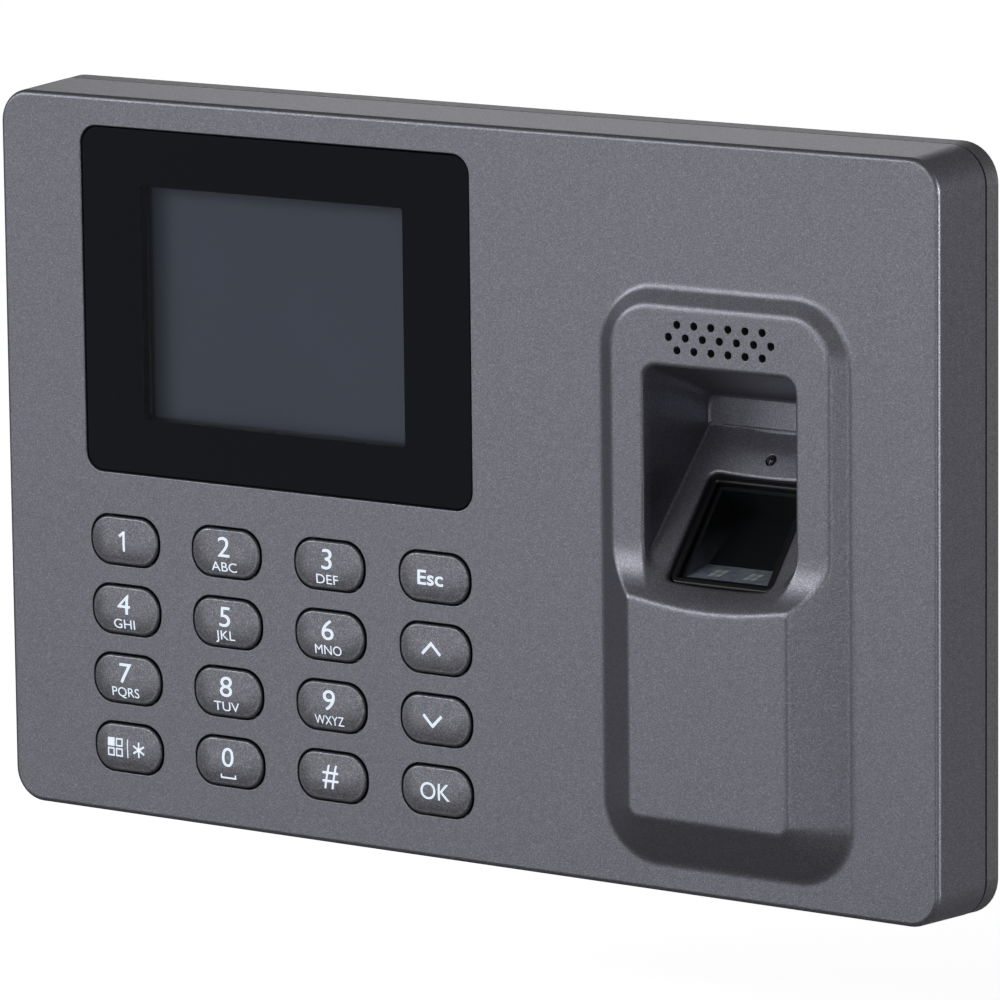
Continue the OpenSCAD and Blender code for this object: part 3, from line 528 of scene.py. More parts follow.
def step_between(x, low_end, high_end):
    t = np.clip((x - low_end) / (high_end - low_end), 0, 1)
    return t * t * (3 - 2 * t)


def rounded_square_distance(x, z, half_w, half_h, r):
    qx, qz = np.abs(x) - half_w + r, np.abs(z) - half_h + r
    return np.hypot(np.maximum(qx, 0), np.maximum(qz, 0)) + np.minimum(np.maximum(qx, qz), 0) - r


def slope_place(d, z):
    """How far a point is up the finger slope, and how far it is under the slope's plane."""
    dd, dz = d + REST_RISE, z - TOE_Z
    up_slope = dd * math.sin(TILT) + dz * math.cos(TILT)
    under = dd * math.cos(TILT) - dz * math.sin(TILT)
    return up_slope, under


def groove(x, up_slope):
    """Depth of the trough that leads a finger down the slope and onto the sensor."""
    deep = GROOVE_AT_TOE + (GROOVE_AT_SENSOR - GROOVE_AT_TOE) * step_between(up_slope, 0, GROOVE_FULL_U)
    deep = deep * (1 - 0.4 * step_between(up_slope, *GROOVE_FADE_U))
    return deep * smooth_max(1 - (x / GROOVE_HALF_W) ** 2, np.zeros_like(x), 0.25)


def guide_distance(x, d, z):
    """Signed distance to the front cover: x from the guide's middle, d depth behind the face, z height."""
    spread = REST_RISE / GUIDE_RUN
    flank = (rounded_square_distance(x, z - GUIDE_Z, GUIDE_W / 2, GUIDE_H / 2, GUIDE_R) * spread - d) \
        / math.hypot(1, spread)
    outer = smooth_min(-d, smooth_max(flank, -d - REST_RISE, REST_EDGE), GUIDE_FILLET)
    inward = (d + FRAME_RISE) / (RECESS_DEPTH + FRAME_RISE)
    wall_side = np.abs(x) - (RECESS_W / 2 - RECESS_DRAFT * inward)
    fall = CEILING_DROP / (RECESS_DEPTH + FRAME_RISE)
    ceiling = (z - RECESS_TOP + fall * (d + FRAME_RISE)) / math.hypot(1, fall)
    up_slope, under = slope_place(d, z)
    back = d - RECESS_DEPTH - BACK_GAP * (1 - step_between(z, BACK_LOW - 0.15, BACK_LOW + 0.15))
    recess = smooth_max(smooth_max(wall_side, ceiling, RECESS_CORNER), back, RECESS_BACK_FILLET)
    upper = smooth_max(-d - FRAME_RISE, -recess, FRAME_EDGE)
    lower = groove(x, up_slope) - under
    softness = CHEEK_SOFT + (SLOPE_SOFT - CHEEK_SOFT) * step_between(d, CHEEK_FROM, CHEEK_TO)
    inner = smooth_min(upper, lower, softness)
    solid = smooth_max(outer, inner, CREST_EDGE)
    shell = smooth_max(solid, -solid - WALL, 0.1)
    window = rounded_square_distance(x, up_slope - GASKET_U - GASKET_L / 2,
                                     GASKET_W / 2 + GASKET_GAP, GASKET_L / 2 + GASKET_GAP, GASKET_R)
    window = np.maximum(np.maximum(window, -1.5 - under), under - CUT_DEPTH - 1)
    shell = smooth_max(shell, -window, GASKET_EDGE)
    led = np.hypot(x, up_slope - LED_U) - LED_R
    led = np.maximum(np.maximum(led, -1.5 - under), under - CUT_DEPTH)
    return smooth_max(shell, -led, HOLE_EDGE)


def spaced(low_end, high_end, coarse, fine, close_to, reach, finest_at):
    """Grid positions that are fine near the given places, finest round one of them, coarse elsewhere."""
    probe = np.linspace(low_end, high_end, 4000)
    nearest = np.min(np.abs(probe[:, None] - np.array(close_to)[None, :]), axis=1)
    step = fine + (coarse - fine) * step_between(nearest, reach, reach + 3)
    step = FINEST + (step - FINEST) * step_between(np.abs(probe - finest_at), 1.0, 1.6)
    count = np.concatenate([[0], np.cumsum((1 / step[1:]) * np.diff(probe))])
    return np.interp(np.linspace(0, count[-1], int(round(count[-1])) + 1), count, probe)


def gradient(field, points):
    """How steeply a distance function rises along each axis, at each point."""
    h = 0.01
    parts = []
    for axis in range(3):
        move = np.zeros(3)
        move[axis] = h
        parts.append((field(*(points + move).T) - field(*(points - move).T)) / (2 * h))
    return np.array(parts).T


def surface_net(field, xs, ds, zs):
    """Quads on the zero surface of a distance function: one point in each grid cell that it crosses."""
    grid = np.stack(np.meshgrid(xs, ds, zs, indexing="ij"), axis=-1)
    value = field(grid[..., 0], grid[..., 1], grid[..., 2])
    cells = tuple(n - 1 for n in value.shape)
    total, count = np.zeros(cells + (3,)), np.zeros(cells)
    crossings = []
    for axis in range(3):
        a = np.take(value, range(value.shape[axis] - 1), axis)
        b = np.take(value, range(1, value.shape[axis]), axis)
        crossed = (a < 0) != (b < 0)
        t = np.where(crossed, a / np.where(a == b, 1, a - b), 0)[..., None]
        pa = np.take(grid, range(value.shape[axis] - 1), axis)
        pb = np.take(grid, range(1, value.shape[axis]), axis)
        place = pa + t * (pb - pa)
        crossings.append((crossed, a < 0))
        others = [k for k in range(3) if k != axis]
        for i in range(2):
            for j in range(2):
                cut = [slice(None)] * 3
                cut[others[0]] = slice(i, i + cells[others[0]])
                cut[others[1]] = slice(j, j + cells[others[1]])
                cut = tuple(cut)
                total += place[cut] * crossed[cut][..., None]
                count += crossed[cut]
    active = count > 0
    number = np.full(cells, -1)
    number[active] = np.arange(active.sum())
    points = total[active] / count[active][:, None]
    start = points.copy()
    for _ in range(5):
        slope = gradient(field, points)
        points -= (field(*points.T) / np.maximum((slope ** 2).sum(1), 0.2))[:, None] * slope
        points = start + np.clip(points - start, -0.5, 0.5)
    faces = []
    for axis, (crossed, low_inside) in enumerate(crossings):
        others = [k for k in range(3) if k != axis]
        inner = [slice(None)] * 3
        inner[others[0]] = slice(1, cells[others[0]])
        inner[others[1]] = slice(1, cells[others[1]])
        spots = np.argwhere(crossed[tuple(inner)])
        flips = low_inside[tuple(inner)][tuple(spots.T)]
        spots[:, others[0]] += 1
        spots[:, others[1]] += 1
        corners = []
        for i, j in ((0, 0), (1, 0), (1, 1), (0, 1)):
            at = spots.copy()
            at[:, others[0]] -= i
            at[:, others[1]] -= j
            corners.append(number[tuple(at.T)])
        quads = np.array(corners).T
        if axis == 1:
            flips = ~flips
        quads[flips] = quads[flips][:, ::-1]
        faces.append(quads)
    return points, np.concatenate(faces)


def open_loops(faces):
    """Closed chains of edges that only one face uses."""
    edges = {}
    for f in faces:
        for a, b in zip(f, np.roll(f, -1)):
            edges[(int(a), int(b))] = True
    following = {b: a for a, b in edges if (b, a) not in edges}
    loops = []
    while following:
        first = next(iter(following))
        loop, at = [], first
        while at in following:
            loop.append(at)
            at = following.pop(at)
        loops.append(loop)
    return loops


# ---------- front cover ----------

def hole_edges(sheet, w, h, r, x, z, edge, floor=WALL):
    """The rounded rim and the wall of an opening. Returns its loops on the front and on the back."""
    rim = [(edge - edge * math.sin(t), FACE_Y + edge * (1 - math.cos(t)), -math.sin(t), -math.cos(t))
           for t in np.linspace(0, math.pi / 2, 5)]
    return add_profile(sheet, w, h, r, x, z, rim + [(0, FACE_Y + floor, -1, 0)], 8)


def speaker_hole_places():
    for row in (-1, 0, 1):
        count = 7 if row == 0 else 6
        for i in range(count):
            yield SPEAKER_X + HOLE_PITCH_X * (i - (count - 1) / 2), HOLES_Z + row * HOLE_PITCH_Z


def cut_speaker_patch(faces, points):
    """Cuts a patch out of the flat upper frame. Returns the other faces and the patch's two edges."""
    half_w, half_h = 3 * HOLE_PITCH_X + 1.4, HOLE_PITCH_Z + 1.3
    patch_x, patch_z = SPEAKER_X - GUIDE_X, HOLES_Z
    near = (np.abs(points[:, 0] - patch_x) < half_w) & (np.abs(points[:, 2] - patch_z) < half_h)
    front = near & (np.abs(points[:, 1] + FRAME_RISE) < 0.05)
    back = near & (np.abs(points[:, 1] + FRAME_RISE - WALL) < 0.05)
    keep = np.ones(len(faces), bool)
    loops = []
    for layer in (front, back):
        cut = layer[faces].all(axis=1)
        loops.append(max(open_loops(faces[cut]), key=len))
        keep &= ~cut
    return faces[keep], loops


def add_cover_sides(sheet):
    """The rounded front edge, the sides that spread a little, and the inside of the sides."""
    side = [(-EDGE_R + EDGE_R * math.sin(t), FACE_Y + EDGE_R * (1 - math.cos(t)), math.sin(t), -math.cos(t))
            for t in np.linspace(0, math.pi / 2, 8)]
    spread = DRAFT * (SEAM_DEPTH - EDGE_R)
    seam_y = FACE_Y + SEAM_DEPTH
    side += [(spread, seam_y - 0.2, 1, 0), (spread - 0.06, seam_y - 0.06, 0.7, 0.7),
             (spread - 0.2, seam_y, 0, 1), (spread - WALL, seam_y, 0, 1)]
    outline_at_edge = (OUTLINE_W + 2 * DRAFT * EDGE_R, OUTLINE_H + 2 * DRAFT * EDGE_R)
    front_loop, _ = add_profile(sheet, *outline_at_edge, OUTLINE_R, 0, 0, side, 12)
    inner = [(spread - WALL, seam_y, -1, 0), (-WALL, FACE_Y + WALL, -1, 0)]
    _, back_loop = add_profile(sheet, *outline_at_edge, OUTLINE_R, 0, 0, inner, 12)
    return front_loop, back_loop


def add_display_seat(sheet):
    """The shallow pocket that the display lens lies in, with the window through its floor."""
    pocket = (LENS_W + 2 * LENS_GAP, LENS_H + 2 * LENS_GAP, LENS_R + LENS_GAP, LENS_MID[0], LENS_MID[2])
    window = (WINDOW_W + 2, WINDOW_H + 2, 1, WINDOW_MID[0], WINDOW_MID[2])
    floor_y = FACE_Y + LENS_SINK + LENS_T + 0.05
    back_y = FACE_Y + WALL + SEAT_DEPTH
    front_loop, _ = hole_edges(sheet, *pocket, 0.2, floor_y - FACE_Y)
    pocket_loop, _ = add_profile(sheet, *pocket, [(0, floor_y, 0, -1)], 8)
    window_loop, _ = add_profile(sheet, *window, [(0, floor_y, 0, -1)], 8)
    add_flat(sheet, floor_y, [pocket_loop, window_loop])
    _, window_back = add_profile(sheet, *window, [(0, floor_y, -1, 0), (0, back_y, -1, 0)], 8)
    seat_back, back_loop = add_profile(sheet, LENS_W + 3, LENS_H + 3, 4, LENS_MID[0], LENS_MID[2],
                                       [(0, back_y, 1, 0), (0, FACE_Y + WALL, 1, 0)], 8)
    add_flat(sheet, back_y, [seat_back, window_back], 1)
    return front_loop, back_loop


def scanner_grid():
    """Grid lines for the scanner's surface, closer together where it has edges."""
    half_w, half_h = GUIDE_W / 2, GUIDE_H / 2
    led = slope_to_frame([(0, 0, LED_U)])[0] - (GUIDE_X, FACE_Y, 0)
    across = [sign * edge for edge in SCANNER_EDGES_X for sign in (-1, 1)]
    depths = [-REST_RISE, -FRAME_RISE, 0, RECESS_DEPTH]
    heights = [*SCANNER_EDGES_Z, *np.arange(*SLOPE_HEIGHTS)]
    ends = [(-half_w, half_w), (-REST_RISE, RECESS_DEPTH + WALL), (GUIDE_Z - half_h, GUIDE_Z + half_h)]
    margins = (GRID_MARGIN, GRID_MARGIN_DEPTH, GRID_MARGIN)
    return [spaced(low_end - margin, high_end + margin, coarse, fine, edges, GRID_REACH, finest_at)
            for (low_end, high_end), margin, coarse, fine, edges, finest_at
            in zip(ends, margins, COARSE, FINE, (across, depths, heights), led)]


def add_scanner(sheet):
    """The scanner housing. Returns its front and back rim, and the two edges round the speaker grille."""
    points, faces = surface_net(guide_distance, *scanner_grid())
    slope = gradient(guide_distance, points)
    normals = slope / np.linalg.norm(slope, axis=1)[:, None]
    faces, grille_loops = cut_speaker_patch(faces, points)
    first = sheet.add_points(points + (GUIDE_X, FACE_Y, 0), normals)[0]
    sheet.add_faces(faces + first)
    rims = sorted((loop for loop in open_loops(faces) if len(loop) > 150), key=len)[-2:]
    rims.sort(key=lambda loop: points[loop[0], 1])
    return [[i + first for i in loop] for loop in (*rims, *grille_loops)]


def add_speaker_holes(sheet, front_edge, back_edge):
    """The plate with the round holes that fills the gap in the upper frame."""
    fronts, backs = [front_edge], [back_edge]
    top_y = FACE_Y - FRAME_RISE
    rim = []
    for t in np.linspace(0, math.pi / 2, 4):
        rim_y = top_y + HOLE_EDGE * (1 - math.cos(t))
        rim.append((HOLE_EDGE * (1 - math.sin(t)), rim_y, -math.sin(t), -math.cos(t)))
    rim.append((0, top_y + WALL, -1, 0))
    for x, z in speaker_hole_places():
        front, back = add_profile(sheet, 2 * HOLE_R, 2 * HOLE_R, HOLE_R, x, z, rim, 5)
        fronts.append(front)
        backs.append(back)
    add_flat(sheet, top_y, fronts)
    add_flat(sheet, top_y + WALL, backs, 1)


def build_front_cover():
    sheet = Sheet()
    loops = [add_cover_sides(sheet)]
    for key in KEYS:
        x, _, z = middle(key)
        loops.append(hole_edges(sheet, KEY_HOLE_W, KEY_HOLE_H, KEY_HOLE_R, x, z, KEY_HOLE_EDGE))
    loops.append(add_display_seat(sheet))
    front_rim, back_rim, *grille_edges = add_scanner(sheet)
    loops.append((front_rim, back_rim))
    add_flat(sheet, FACE_Y, [front for front, _ in loops])
    add_flat(sheet, FACE_Y + WALL, [back for _, back in loops], 1)
    add_speaker_holes(sheet, *grille_edges)
    cover = sheet.make("front_cover_shell", [COVER_PAINT])
    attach(cover, "terminal")
    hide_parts("front_cover")


# ---------- keys ----------

STEEP = 30                                  # steepness at the foot of a key's rounded edge


def key_height(inset):
    """How far the key's surface stands above the front face, at a distance in from its outline."""
    full = KEY_H / 2
    shoulder = KEY_PROUD - KEY_CROWN
    if inset < KEY_EDGE_R:
        return shoulder - KEY_EDGE_R + math.sqrt(KEY_EDGE_R ** 2 - (KEY_EDGE_R - inset) ** 2)
    t = (inset - KEY_EDGE_R) / (full - KEY_EDGE_R)
    return shoulder + KEY_CROWN * (1 - (1 - t) ** 2)


def add_key_back(sheet, key):
    """The lip behind the cover that holds a key in, and its stem down to the rubber mat."""
    x, _, z = middle(key)
    front, back, stem_end = KEY_FLANGE_Y, KEY_FLANGE_Y + KEY_FLANGE_T, high(key)[1]
    lip = [(0, front, 0, -1), (0, front, 1, 0), (0, back, 1, 0), (0, back, 0, 1)]
    lip_front, lip_back = add_profile(sheet, KEY_HOLE_W + 2 * KEY_FLANGE, KEY_HOLE_H + 2 * KEY_FLANGE,
                                      KEY_R + 0.9, x, z, lip, 8)
    neck = [(0, FACE_Y + WALL + 0.1, 1, 0), (0, front, 1, 0)]
    _, neck_end = add_profile(sheet, KEY_W, KEY_H, KEY_R, x, z, neck, 8)
    add_flat(sheet, front, [lip_front, neck_end])
    stem = [(0, back, 1, 0), (0, stem_end, 1, 0), (0, stem_end, 0, 1)]
    stem_start, stem_tip = add_profile(sheet, 2 * KEY_STEM_R, 2 * KEY_STEM_R, KEY_STEM_R, x, z, stem, 5)
    add_flat(sheet, back, [lip_back, stem_start], 1)
    add_flat(sheet, stem_end, [stem_tip], 1)


def build_key(key):
    sheet = Sheet()
    x, _, z = middle(key)
    insets = [KEY_EDGE_R * (1 - math.cos(t)) for t in np.linspace(0, math.pi / 2, 8)]
    insets += list(np.linspace(KEY_EDGE_R, KEY_R - 0.05, 9))[1:]
    profile = []
    for inset in insets:
        steepness = STEEP
        if inset > 0.02:
            steepness = (key_height(inset + 0.01) - key_height(inset - 0.01)) / 0.02
        length = math.hypot(1, steepness)
        profile.append((-inset, FACE_Y - key_height(inset), steepness / length, -1 / length))
    _, top = add_profile(sheet, KEY_W, KEY_H, KEY_R, x, z, profile, 8)
    side = [(0, profile[0][1], 1, 0), (0, FACE_Y + WALL + 0.1, 1, 0)]
    add_profile(sheet, KEY_W, KEY_H, KEY_R, x, z, side, 8, slot=1)
    top_y = sheet.points[top[0]][1]
    add_flat(sheet, top_y, [top])
    add_key_back(sheet, key)
    cap = sheet.make(key + "_cap", [KEY_PAINT, KEY_BLACK])
    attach(cap, key)
    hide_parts(key)


# ---------- legends ----------

def text_outline(text, height, x, z, weight=0.0, stretch=LETTER_STRETCH):
    """A flat mesh of generic lettering, centred at x and z. Returns points and faces in the XZ plane."""
    curve = bpy.data.curves.new("lettering", "FONT")
    curve.body = text
    curve.size = height / 0.72
    curve.resolution_u = 6
    curve.offset = weight * height
    letter = bpy.data.objects.new("lettering", curve)
    bpy.context.scene.collection.objects.link(letter)
    mesh = bpy.data.meshes.new_from_object(letter.evaluated_get(bpy.context.evaluated_depsgraph_get()))
    flat = np.array([v.co[:2] for v in mesh.vertices])
    faces = [tuple(p.vertices) for p in mesh.polygons]
    middle_x = (flat[:, 0].min() + flat[:, 0].max()) / 2
    middle_z = (flat[:, 1].min() + flat[:, 1].max()) / 2
    bpy.data.objects.remove(letter)
    bpy.data.curves.remove(curve)
    bpy.data.meshes.remove(mesh)
    return (flat - (middle_x, middle_z)) * (stretch, 1) + (x, z), faces


def stroke(points, width):
    """A flat line of constant width through the given points."""
    points = np.array(points, float)
    along = np.gradient(points, axis=0)
    along /= np.linalg.norm(along, axis=1)[:, None]
    across = np.c_[-along[:, 1], along[:, 0]] * width / 2
    if len(points) == 3:
        bend = abs(np.dot(along[1], (points[1] - points[0]) / np.linalg.norm(points[1] - points[0])))
        across[1] /= max(bend, 0.5)
    n = len(points)
    flat = np.concatenate([points + across, points - across])
    return flat, [(i, i + 1, n + i + 1, n + i) for i in range(n - 1)]


def rectangle(x, z, w, h):
    return np.array([(x - w / 2, z - h / 2), (x + w / 2, z - h / 2), (x + w / 2, z + h / 2),
                     (x - w / 2, z + h / 2)]), [(0, 1, 2, 3)]


def hollow_square(x, z, w, line):
    parts = [rectangle(x, z + s * (w - line) / 2, w, line) for s in (-1, 1)]
    return parts + [rectangle(x + s * (w - line) / 2, z, line, w - 2 * line) for s in (-1, 1)]


def arrow(x, way):
    """A chevron that points up (way 1) or down (way -1)."""
    return stroke([(x - 1.7, -0.8 * way), (x, 0.9 * way), (x + 1.7, -0.8 * way)], LINE + 0.04)


def digit(number, letters):
    if not letters:
        return [rectangle(0.15, 0, LINE, 3.2), stroke([(0.1, 1.4), (-0.75, 0.75)], LINE)]
    narrowing = {"MNO": 0.86, "PQRS": 0.9, "WXYZ": 0.72}.get(letters, 1.0)
    return [text_outline(number, DIGIT_H, LEGEND_SHIFT, DIGIT_Z),
            text_outline(letters, LETTERS_H, LEGEND_SHIFT, LETTERS_Z, stretch=narrowing * LETTER_STRETCH)]


def menu_sign():
    """Four small squares, the first one filled, and a bar to their right."""
    square, line, left, right, upper, lower = 1.35, 0.24, -3.15, -1.55, 0.85, -0.75
    parts = [rectangle(left, upper, square, square)]
    for x, z in ((right, upper), (left, lower), (right, lower)):
        parts += hollow_square(x, z, square, line)
    return parts + [rectangle(0.1, 0, 0.2, 3.0)]


def star(x, reach):
    """Three strokes that cross at x."""
    strokes = []
    for turn in (90, 30, -30):
        arm = reach * np.array([math.cos(math.radians(turn)), math.sin(math.radians(turn))])
        strokes.append(stroke([(x, 0) - arm, (x, 0) + arm], 0.3))
    return strokes


def legend_parts(key):
    words = {"key_1": ("1", ""), "key_2": ("2", "ABC"), "key_3": ("3", "DEF"), "key_4": ("4", "GHI"),
             "key_5": ("5", "JKL"), "key_6": ("6", "MNO"), "key_7": ("7", "PQRS"),
             "key_8": ("8", "TUV"), "key_9": ("9", "WXYZ")}
    if key in words:
        return digit(*words[key])
    if key == "key_esc":
        return [text_outline("Esc", 2.3, -0.4, 0, 0.022)]
    if key == "key_ok":
        return [text_outline("OK", 2.75, 0, 0, stretch=1.0)]
    if key == "key_hash":
        return [text_outline("#", 3.9, 0, 0, stretch=0.95)]
    if key == "key_up":
        return [arrow(-0.4, 1)]
    if key == "key_down":
        return [arrow(-0.3, -1)]
    if key == "key_0":
        return [text_outline("0", 3.1, 0, 0.85), rectangle(0, -2.45, 3.0, 0.26),
                rectangle(-1.37, -2.15, 0.26, 0.5), rectangle(1.37, -2.15, 0.26, 0.5)]
    return menu_sign() + star(2.3, 1.25)


def cut_fine(flat, faces, spacing=0.25):
    """Cuts a flat mesh along a grid, so that it can follow a curved surface."""
    drawing = bmesh.new()
    corners = [drawing.verts.new((x, z, 0)) for x, z in flat]
    for f in faces:
        if len(set(f)) > 2:
            drawing.faces.new([corners[i] for i in f])
    bmesh.ops.triangulate(drawing, faces=drawing.faces[:])
    for axis, (start, end) in enumerate(zip(flat.min(axis=0), flat.max(axis=0))):
        across = Vector((axis == 0, axis == 1, 0))
        for place in np.arange(start + spacing, end, spacing):
            everything = drawing.verts[:] + drawing.edges[:] + drawing.faces[:]
            bmesh.ops.bisect_plane(drawing, geom=everything, plane_co=across * place, plane_no=across)
    bmesh.ops.triangulate(drawing, faces=drawing.faces[:])
    drawing.verts.index_update()
    flat = np.array([v.co[:2] for v in drawing.verts])
    faces = [tuple(v.index for v in f.verts) for f in drawing.faces]
    drawing.free()
    return flat, faces


def build_legend(key):
    """White print on a key: a thin layer that follows the key's crown. Its material glows faintly, as
    painted light.
    """
    sheet = Sheet()
    key_x, _, key_z = middle(key)
    for part in legend_parts(key):
        flat, faces = cut_fine(*part)
        inset = -rounded_square_distance(flat[:, 0], flat[:, 1], KEY_W / 2, KEY_H / 2, KEY_R)
        y = np.array([FACE_Y - key_height(i) - LEGEND_T for i in np.minimum(inset, KEY_R - 0.05)])
        numbers = sheet.add_points(np.c_[flat[:, 0] + key_x, y, flat[:, 1] + key_z],
                                   np.tile((0, -1, 0), (len(flat), 1)))
        sheet.add_faces([[numbers[i] for i in f] for f in faces])
    legend = sheet.make(key + "_legend", [LEGEND_PRINT_GLOW])
    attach(legend, key)


# ---------- display ----------

def add_plate(sheet, w, h, r, middle_point, front, back, steps, slot=0, cutout=None):
    """A flat plate with sharp edges. A cutout is a loop of points left out of its front face."""
    x, z = middle_point[0], middle_point[2]
    side = [(0, front, 0, -1), (0, front, 1, 0), (0, back, 1, 0), (0, back, 0, 1)]
    a, b = add_profile(sheet, w, h, r, x, z, side, steps, slot)
    add_flat(sheet, front, [a] if cutout is None else [a, cutout], slot=slot)
    add_flat(sheet, back, [b], 1, slot)


def build_display_border():
    """The black border of the display lens, with the opening for its window."""
    sheet = Sheet()
    front, back = low("display_lens")[1], high("display_lens")[1]
    outer = [(-LENS_EDGE, front, 0, -1), (0, front + LENS_EDGE, 1, 0), (0, back, 1, 0), (0, back, 0, 1)]
    a, b = add_profile(sheet, LENS_W, LENS_H, LENS_R, LENS_MID[0], LENS_MID[2], outer, 10)
    hole = [(0, front, 0, -1), (0, front, -1, 0), (0, back, -1, 0), (0, back, 0, 1)]
    c, d = add_profile(sheet, WINDOW_W, WINDOW_H, WINDOW_R, WINDOW_MID[0], WINDOW_MID[2], hole, 5)
    add_flat(sheet, front, [a, c])
    add_flat(sheet, back, [b, d], 1)
    border = sheet.make("display_border", [LENS_BLACK])
    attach(border, "terminal")
    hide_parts("display_lens")


def build_display_window():
    """The clear pane in the border's opening."""
    sheet = Sheet()
    front, back = low("display_lens")[1], high("display_lens")[1]
    add_plate(sheet, WINDOW_W - 0.02, WINDOW_H - 0.02, WINDOW_R, WINDOW_MID, front, back, 5)
    window = sheet.make("display_window", [CLEAR_PANE])
    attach(window, "terminal")


def build_display_panel():
    """The display panel behind the lens: its lit area and the dull border round it."""
    sheet = Sheet()
    front, back = low("lcd_glass")[1], high("lcd_glass")[1]
    w, _, h = size("lcd_glass")
    active, _ = add_profile(sheet, ACTIVE_W, ACTIVE_H, 0.02, WINDOW_MID[0] + ACTIVE_SHIFT, WINDOW_MID[2],
                            [(0, front, 0, -1)], 1)
    add_plate(sheet, w, h, 0.3, WINDOW_MID, front, back, 3, 1, active)
    add_flat(sheet, front, [active])
    panel = sheet.make("lcd_panel_face", [LCD_ACTIVE, LCD_BORDER])
    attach(panel, "terminal")
    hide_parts("lcd_glass")


# ---------- sensor ----------

def slope_to_frame(points):
    """Turns points given as (x, under, up the slope) from the slope's toe into the frame."""
    x, under, up_slope = np.asarray(points, float).T
    d = -REST_RISE + up_slope * math.sin(TILT) + under * math.cos(TILT)
    z = TOE_Z + up_slope * math.cos(TILT) - under * math.sin(TILT)
    return np.c_[x + GUIDE_X, d + FACE_Y, z]


def lean(sheet):
    """Moves a sheet that was drawn flat, with y as depth under the slope, onto the slope."""
    points, normals = np.array(sheet.points), np.array(sheet.normals)
    origin = slope_to_frame([(0, 0, 0)])
    sheet.points = slope_to_frame(points).tolist()
    sheet.normals = (slope_to_frame(normals) - origin).tolist()


def build_gasket():
    sheet = Sheet()
    top, bottom, r = GASKET_SINK, GASKET_SINK + 1.4, 0.45
    middle_u = GASKET_U + GASKET_L / 2
    bead = [(0, bottom, 1, 0), (0, top + r, 1, 0)]
    bead += [(-r + r * math.cos(t), top + r - r * math.sin(t), math.cos(t), -math.sin(t))
             for t in np.linspace(0, math.pi / 2, 6)][1:]
    inner = -GASKET_RIM
    bead += [(inner + r - r * math.sin(t), top + r - r * math.cos(t), -math.sin(t), -math.cos(t))
             for t in np.linspace(0, math.pi / 2, 6)]
    bead += [(inner, bottom, -1, 0), (inner, bottom, 0, 1), (0, bottom, 0, 1)]
    add_profile(sheet, GASKET_W, GASKET_L, GASKET_R, 0, middle_u, bead, 8)
    lean(sheet)
    gasket = sheet.make("sensor_gasket_bead", [GASKET_RUBBER])
    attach(gasket, "terminal")
    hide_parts("sensor_gasket")


def add_well(sheet, half, low_u, high_u, rim):
    """The dark well under the glass. Its lower wall slants inward, its left wall is seen from the side."""
    deep = rim + WELL_DEPTH
    near, far = low_u + 0.5, high_u - 0.6
    left, right = -half + 0.7, half - 0.7
    corners = {"a": (left, rim, near), "b": (right, rim, near),
               "c": (right, rim, far), "d": (left, rim, far),
               "e": (left, deep, near + WELL_RISE), "f": (right, deep, near + WELL_RISE),
               "g": (right, deep + 3, far), "h": (left, deep + 3, far)}
    inside = np.array([0, rim + 1, (low_u + high_u) / 2 + 2])
    # The left wall (slot 2) carries painted shade: its grey darkens to black higher up.
    for names, slot in [("abfe", 3), ("adhe", 2), ("bfgc", 1), ("dcgh", 1), ("efgh", 1)]:
        p = np.array([corners[name] for name in names])
        normal = np.cross(p[2] - p[0], p[3] - p[1])
        normal /= np.linalg.norm(normal)
        if np.dot(normal, inside - p.mean(axis=0)) < 0:
            normal = -normal
        sheet.add_faces([sheet.add_points(p, [normal] * 4)], slot)
    add_well_lights(sheet, rim, near)
    return sheet.add_points([corners[name] for name in "abcd"], [(0, -1, 0)] * 4)


def add_well_lights(sheet, rim, near):
    """Two groups of four small square lights, just above the well's slanted wall."""
    steep = WELL_DEPTH / WELL_RISE
    half = PATCH_SIZE / 2
    for side in (-1, 1):
        for across, along in ((-1, -1), (1, -1), (-1, 1), (1, 1)):
            x = side * PATCH_SPACING / 2 + across * PATCH_SIZE * 0.6
            up = 0.42 * WELL_RISE + along * PATCH_SIZE * 0.6
            y, u = rim + up * steep - 0.06, near + up + 0.06
            patch = [(x + i * half, y + j * half * steep, u + j * half)
                     for i, j in ((-1, -1), (1, -1), (1, 1), (-1, 1))]
            sheet.add_faces([sheet.add_points(patch, [(0, -0.75, 0.66)] * 4)], 4)


def build_prism():
    """The glass block of the sensor: a clear face, and the dark well that is seen through it."""
    sheet = Sheet()
    half = GASKET_W / 2 - GASKET_RIM - 0.05
    low_u, high_u = GASKET_U + GASKET_RIM + 0.05, GASKET_U + GASKET_L - GASKET_RIM - 0.05
    outline = (2 * half, high_u - low_u, 0.5, 0, (low_u + high_u) / 2)
    top = GASKET_SINK + 0.5
    rim = top + 0.6
    face = [(-0.25, top, 0, -1), (-0.2, top + 0.02, 0.4, -0.9), (0, top + 0.22, 1, 0), (0, rim, 1, 0)]
    face_edge, _ = add_profile(sheet, *outline, face, 4)
    add_flat(sheet, top, [face_edge])
    well_edge = add_well(sheet, half, low_u, high_u, rim)
    ledge_edge, _ = add_profile(sheet, *outline, [(0, rim, 0, -1)], 4)
    add_flat(sheet, rim, [ledge_edge, well_edge], slot=1)
    lean(sheet)
    prism = sheet.make("sensor_window_glass", [PRISM_GLASS, WELL_DARK, WELL_SHADED_GREY, WELL_PALE, WELL_LIGHT])
    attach(prism, "terminal")
    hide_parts("sensor_prism")


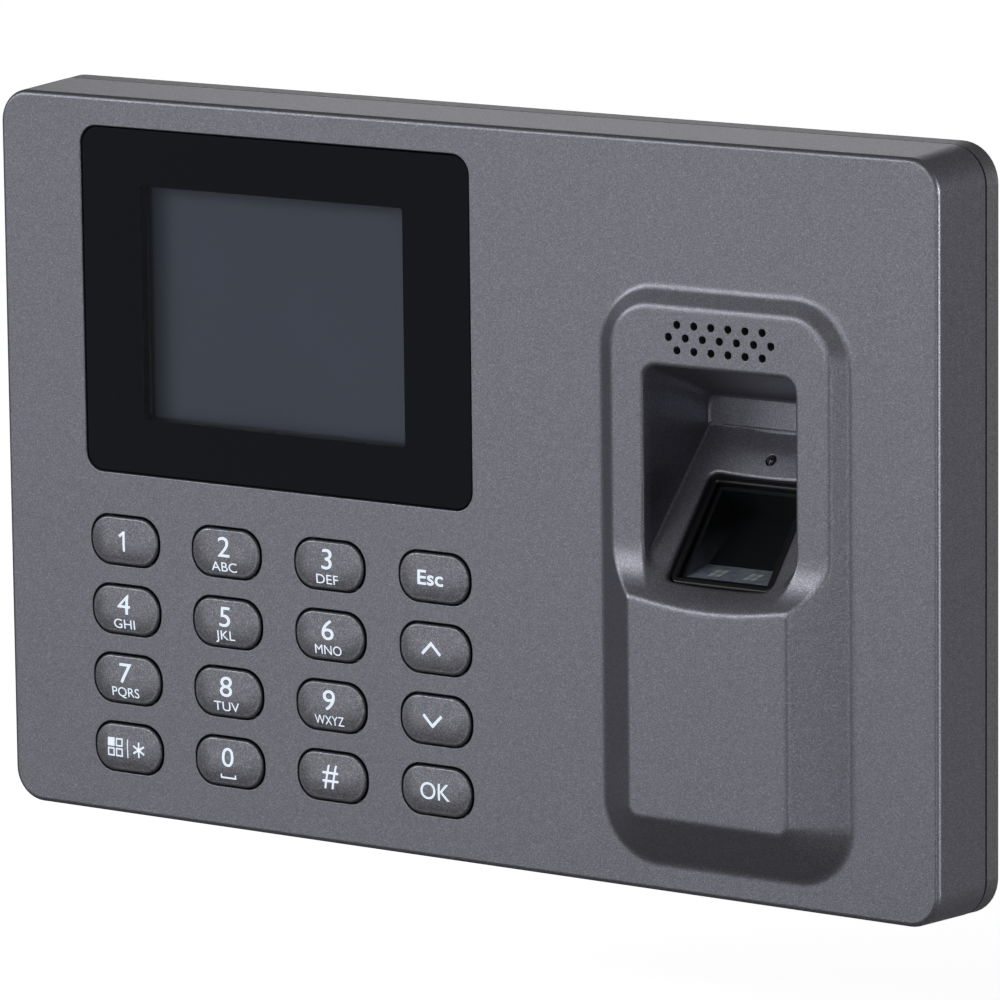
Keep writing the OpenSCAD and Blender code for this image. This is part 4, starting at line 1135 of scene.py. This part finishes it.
def build_led():
    """The small domed lens of the proximity light, in its hole above the sensor."""
    sheet = Sheet()
    radius, seat = LED_R - LED_GAP, groove(np.array(0.0), np.array(LED_U)) + 0.1
    foot = seat + 2.2
    profile = [(0, foot, 0, 1), (0, foot, 1, 0), (0, seat, 1, 0)]
    for t in np.linspace(0.1, math.pi / 2 - 0.12, 7):
        top_y = seat - LED_DOME * radius * math.sin(t)
        profile.append((radius * (math.cos(t) - 1), top_y, math.cos(t), -math.sin(t)))
    _, top = add_profile(sheet, 2 * radius, 2 * radius, radius, 0, LED_U, profile, 8)
    add_flat(sheet, sheet.points[top[0]][1], [top])
    lean(sheet)
    dome = sheet.make("proximity_led_dome", [DARK_CLEAR])
    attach(dome, "terminal")
    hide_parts("proximity_led")


# ---------- the carried-over CAD nodes ----------

def dress(node, material, bevel=0.0):
    """Gives a CAD node a new material and, where asked, softened edges."""
    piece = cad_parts[node]
    for slot in piece.material_slots:
        slot.material = material
    if bevel:
        modifier = piece.modifiers.new("soft_edges", "BEVEL")
        modifier.width = bevel * MM
        modifier.segments = 3
        modifier.limit_method = "ANGLE"
        modifier.angle_limit = math.radians(35)
        modifier.harden_normals = True


def dress_nodes():
    dress("rear_cover", REAR_PAINT, 0.3)
    dress("wall_bracket", ZINC, 0.2)
    looks = [
        (STEEL, ("cover_screws", "lcd_frame", "key_domes", "key_board_screws", "board_screws",
                 "sensor_screws", "usb_socket", "backup_cell")),
        (BRASS, ("lock_insert",)),
        (SEAL_RUBBER, ("cover_seal", "lens_tape", "speaker_seal")),
        (MAT_RUBBER, ("keypad_mat",)),
        (BLACK_PLASTIC, ("sensor_housing", "speaker", "power_jack", "cell_holder")),
        (WHITE_PLASTIC, ("lcd_backlight", "tamper_plunger", "reset_button")),
        (BOARD_GREEN, ("key_board", "main_board", "sensor_board")),
        (CHIP_BLACK, ("main_chips", "tamper_switch", "reset_switch")),
        (FLEX_FILM, ("lcd_ribbon",)),
        (WHITE_CABLE, ("board_link", "sensor_cable")),
        (LIGHT_WHITE, ("sensor_lights",)),
        (DARK_CLEAR, ("sensor_lens",)),
        (MESH_CLOTH, ("speaker_mesh",)),
    ]
    for material, nodes in looks:
        for node in nodes:
            dress(node, material)


add_camera()
add_lights()
add_floor()
build_front_cover()
for key in KEYS:
    build_key(key)
    build_legend(key)
build_display_border()
build_display_window()
build_display_panel()
build_gasket()
build_prism()
build_led()
dress_nodes()
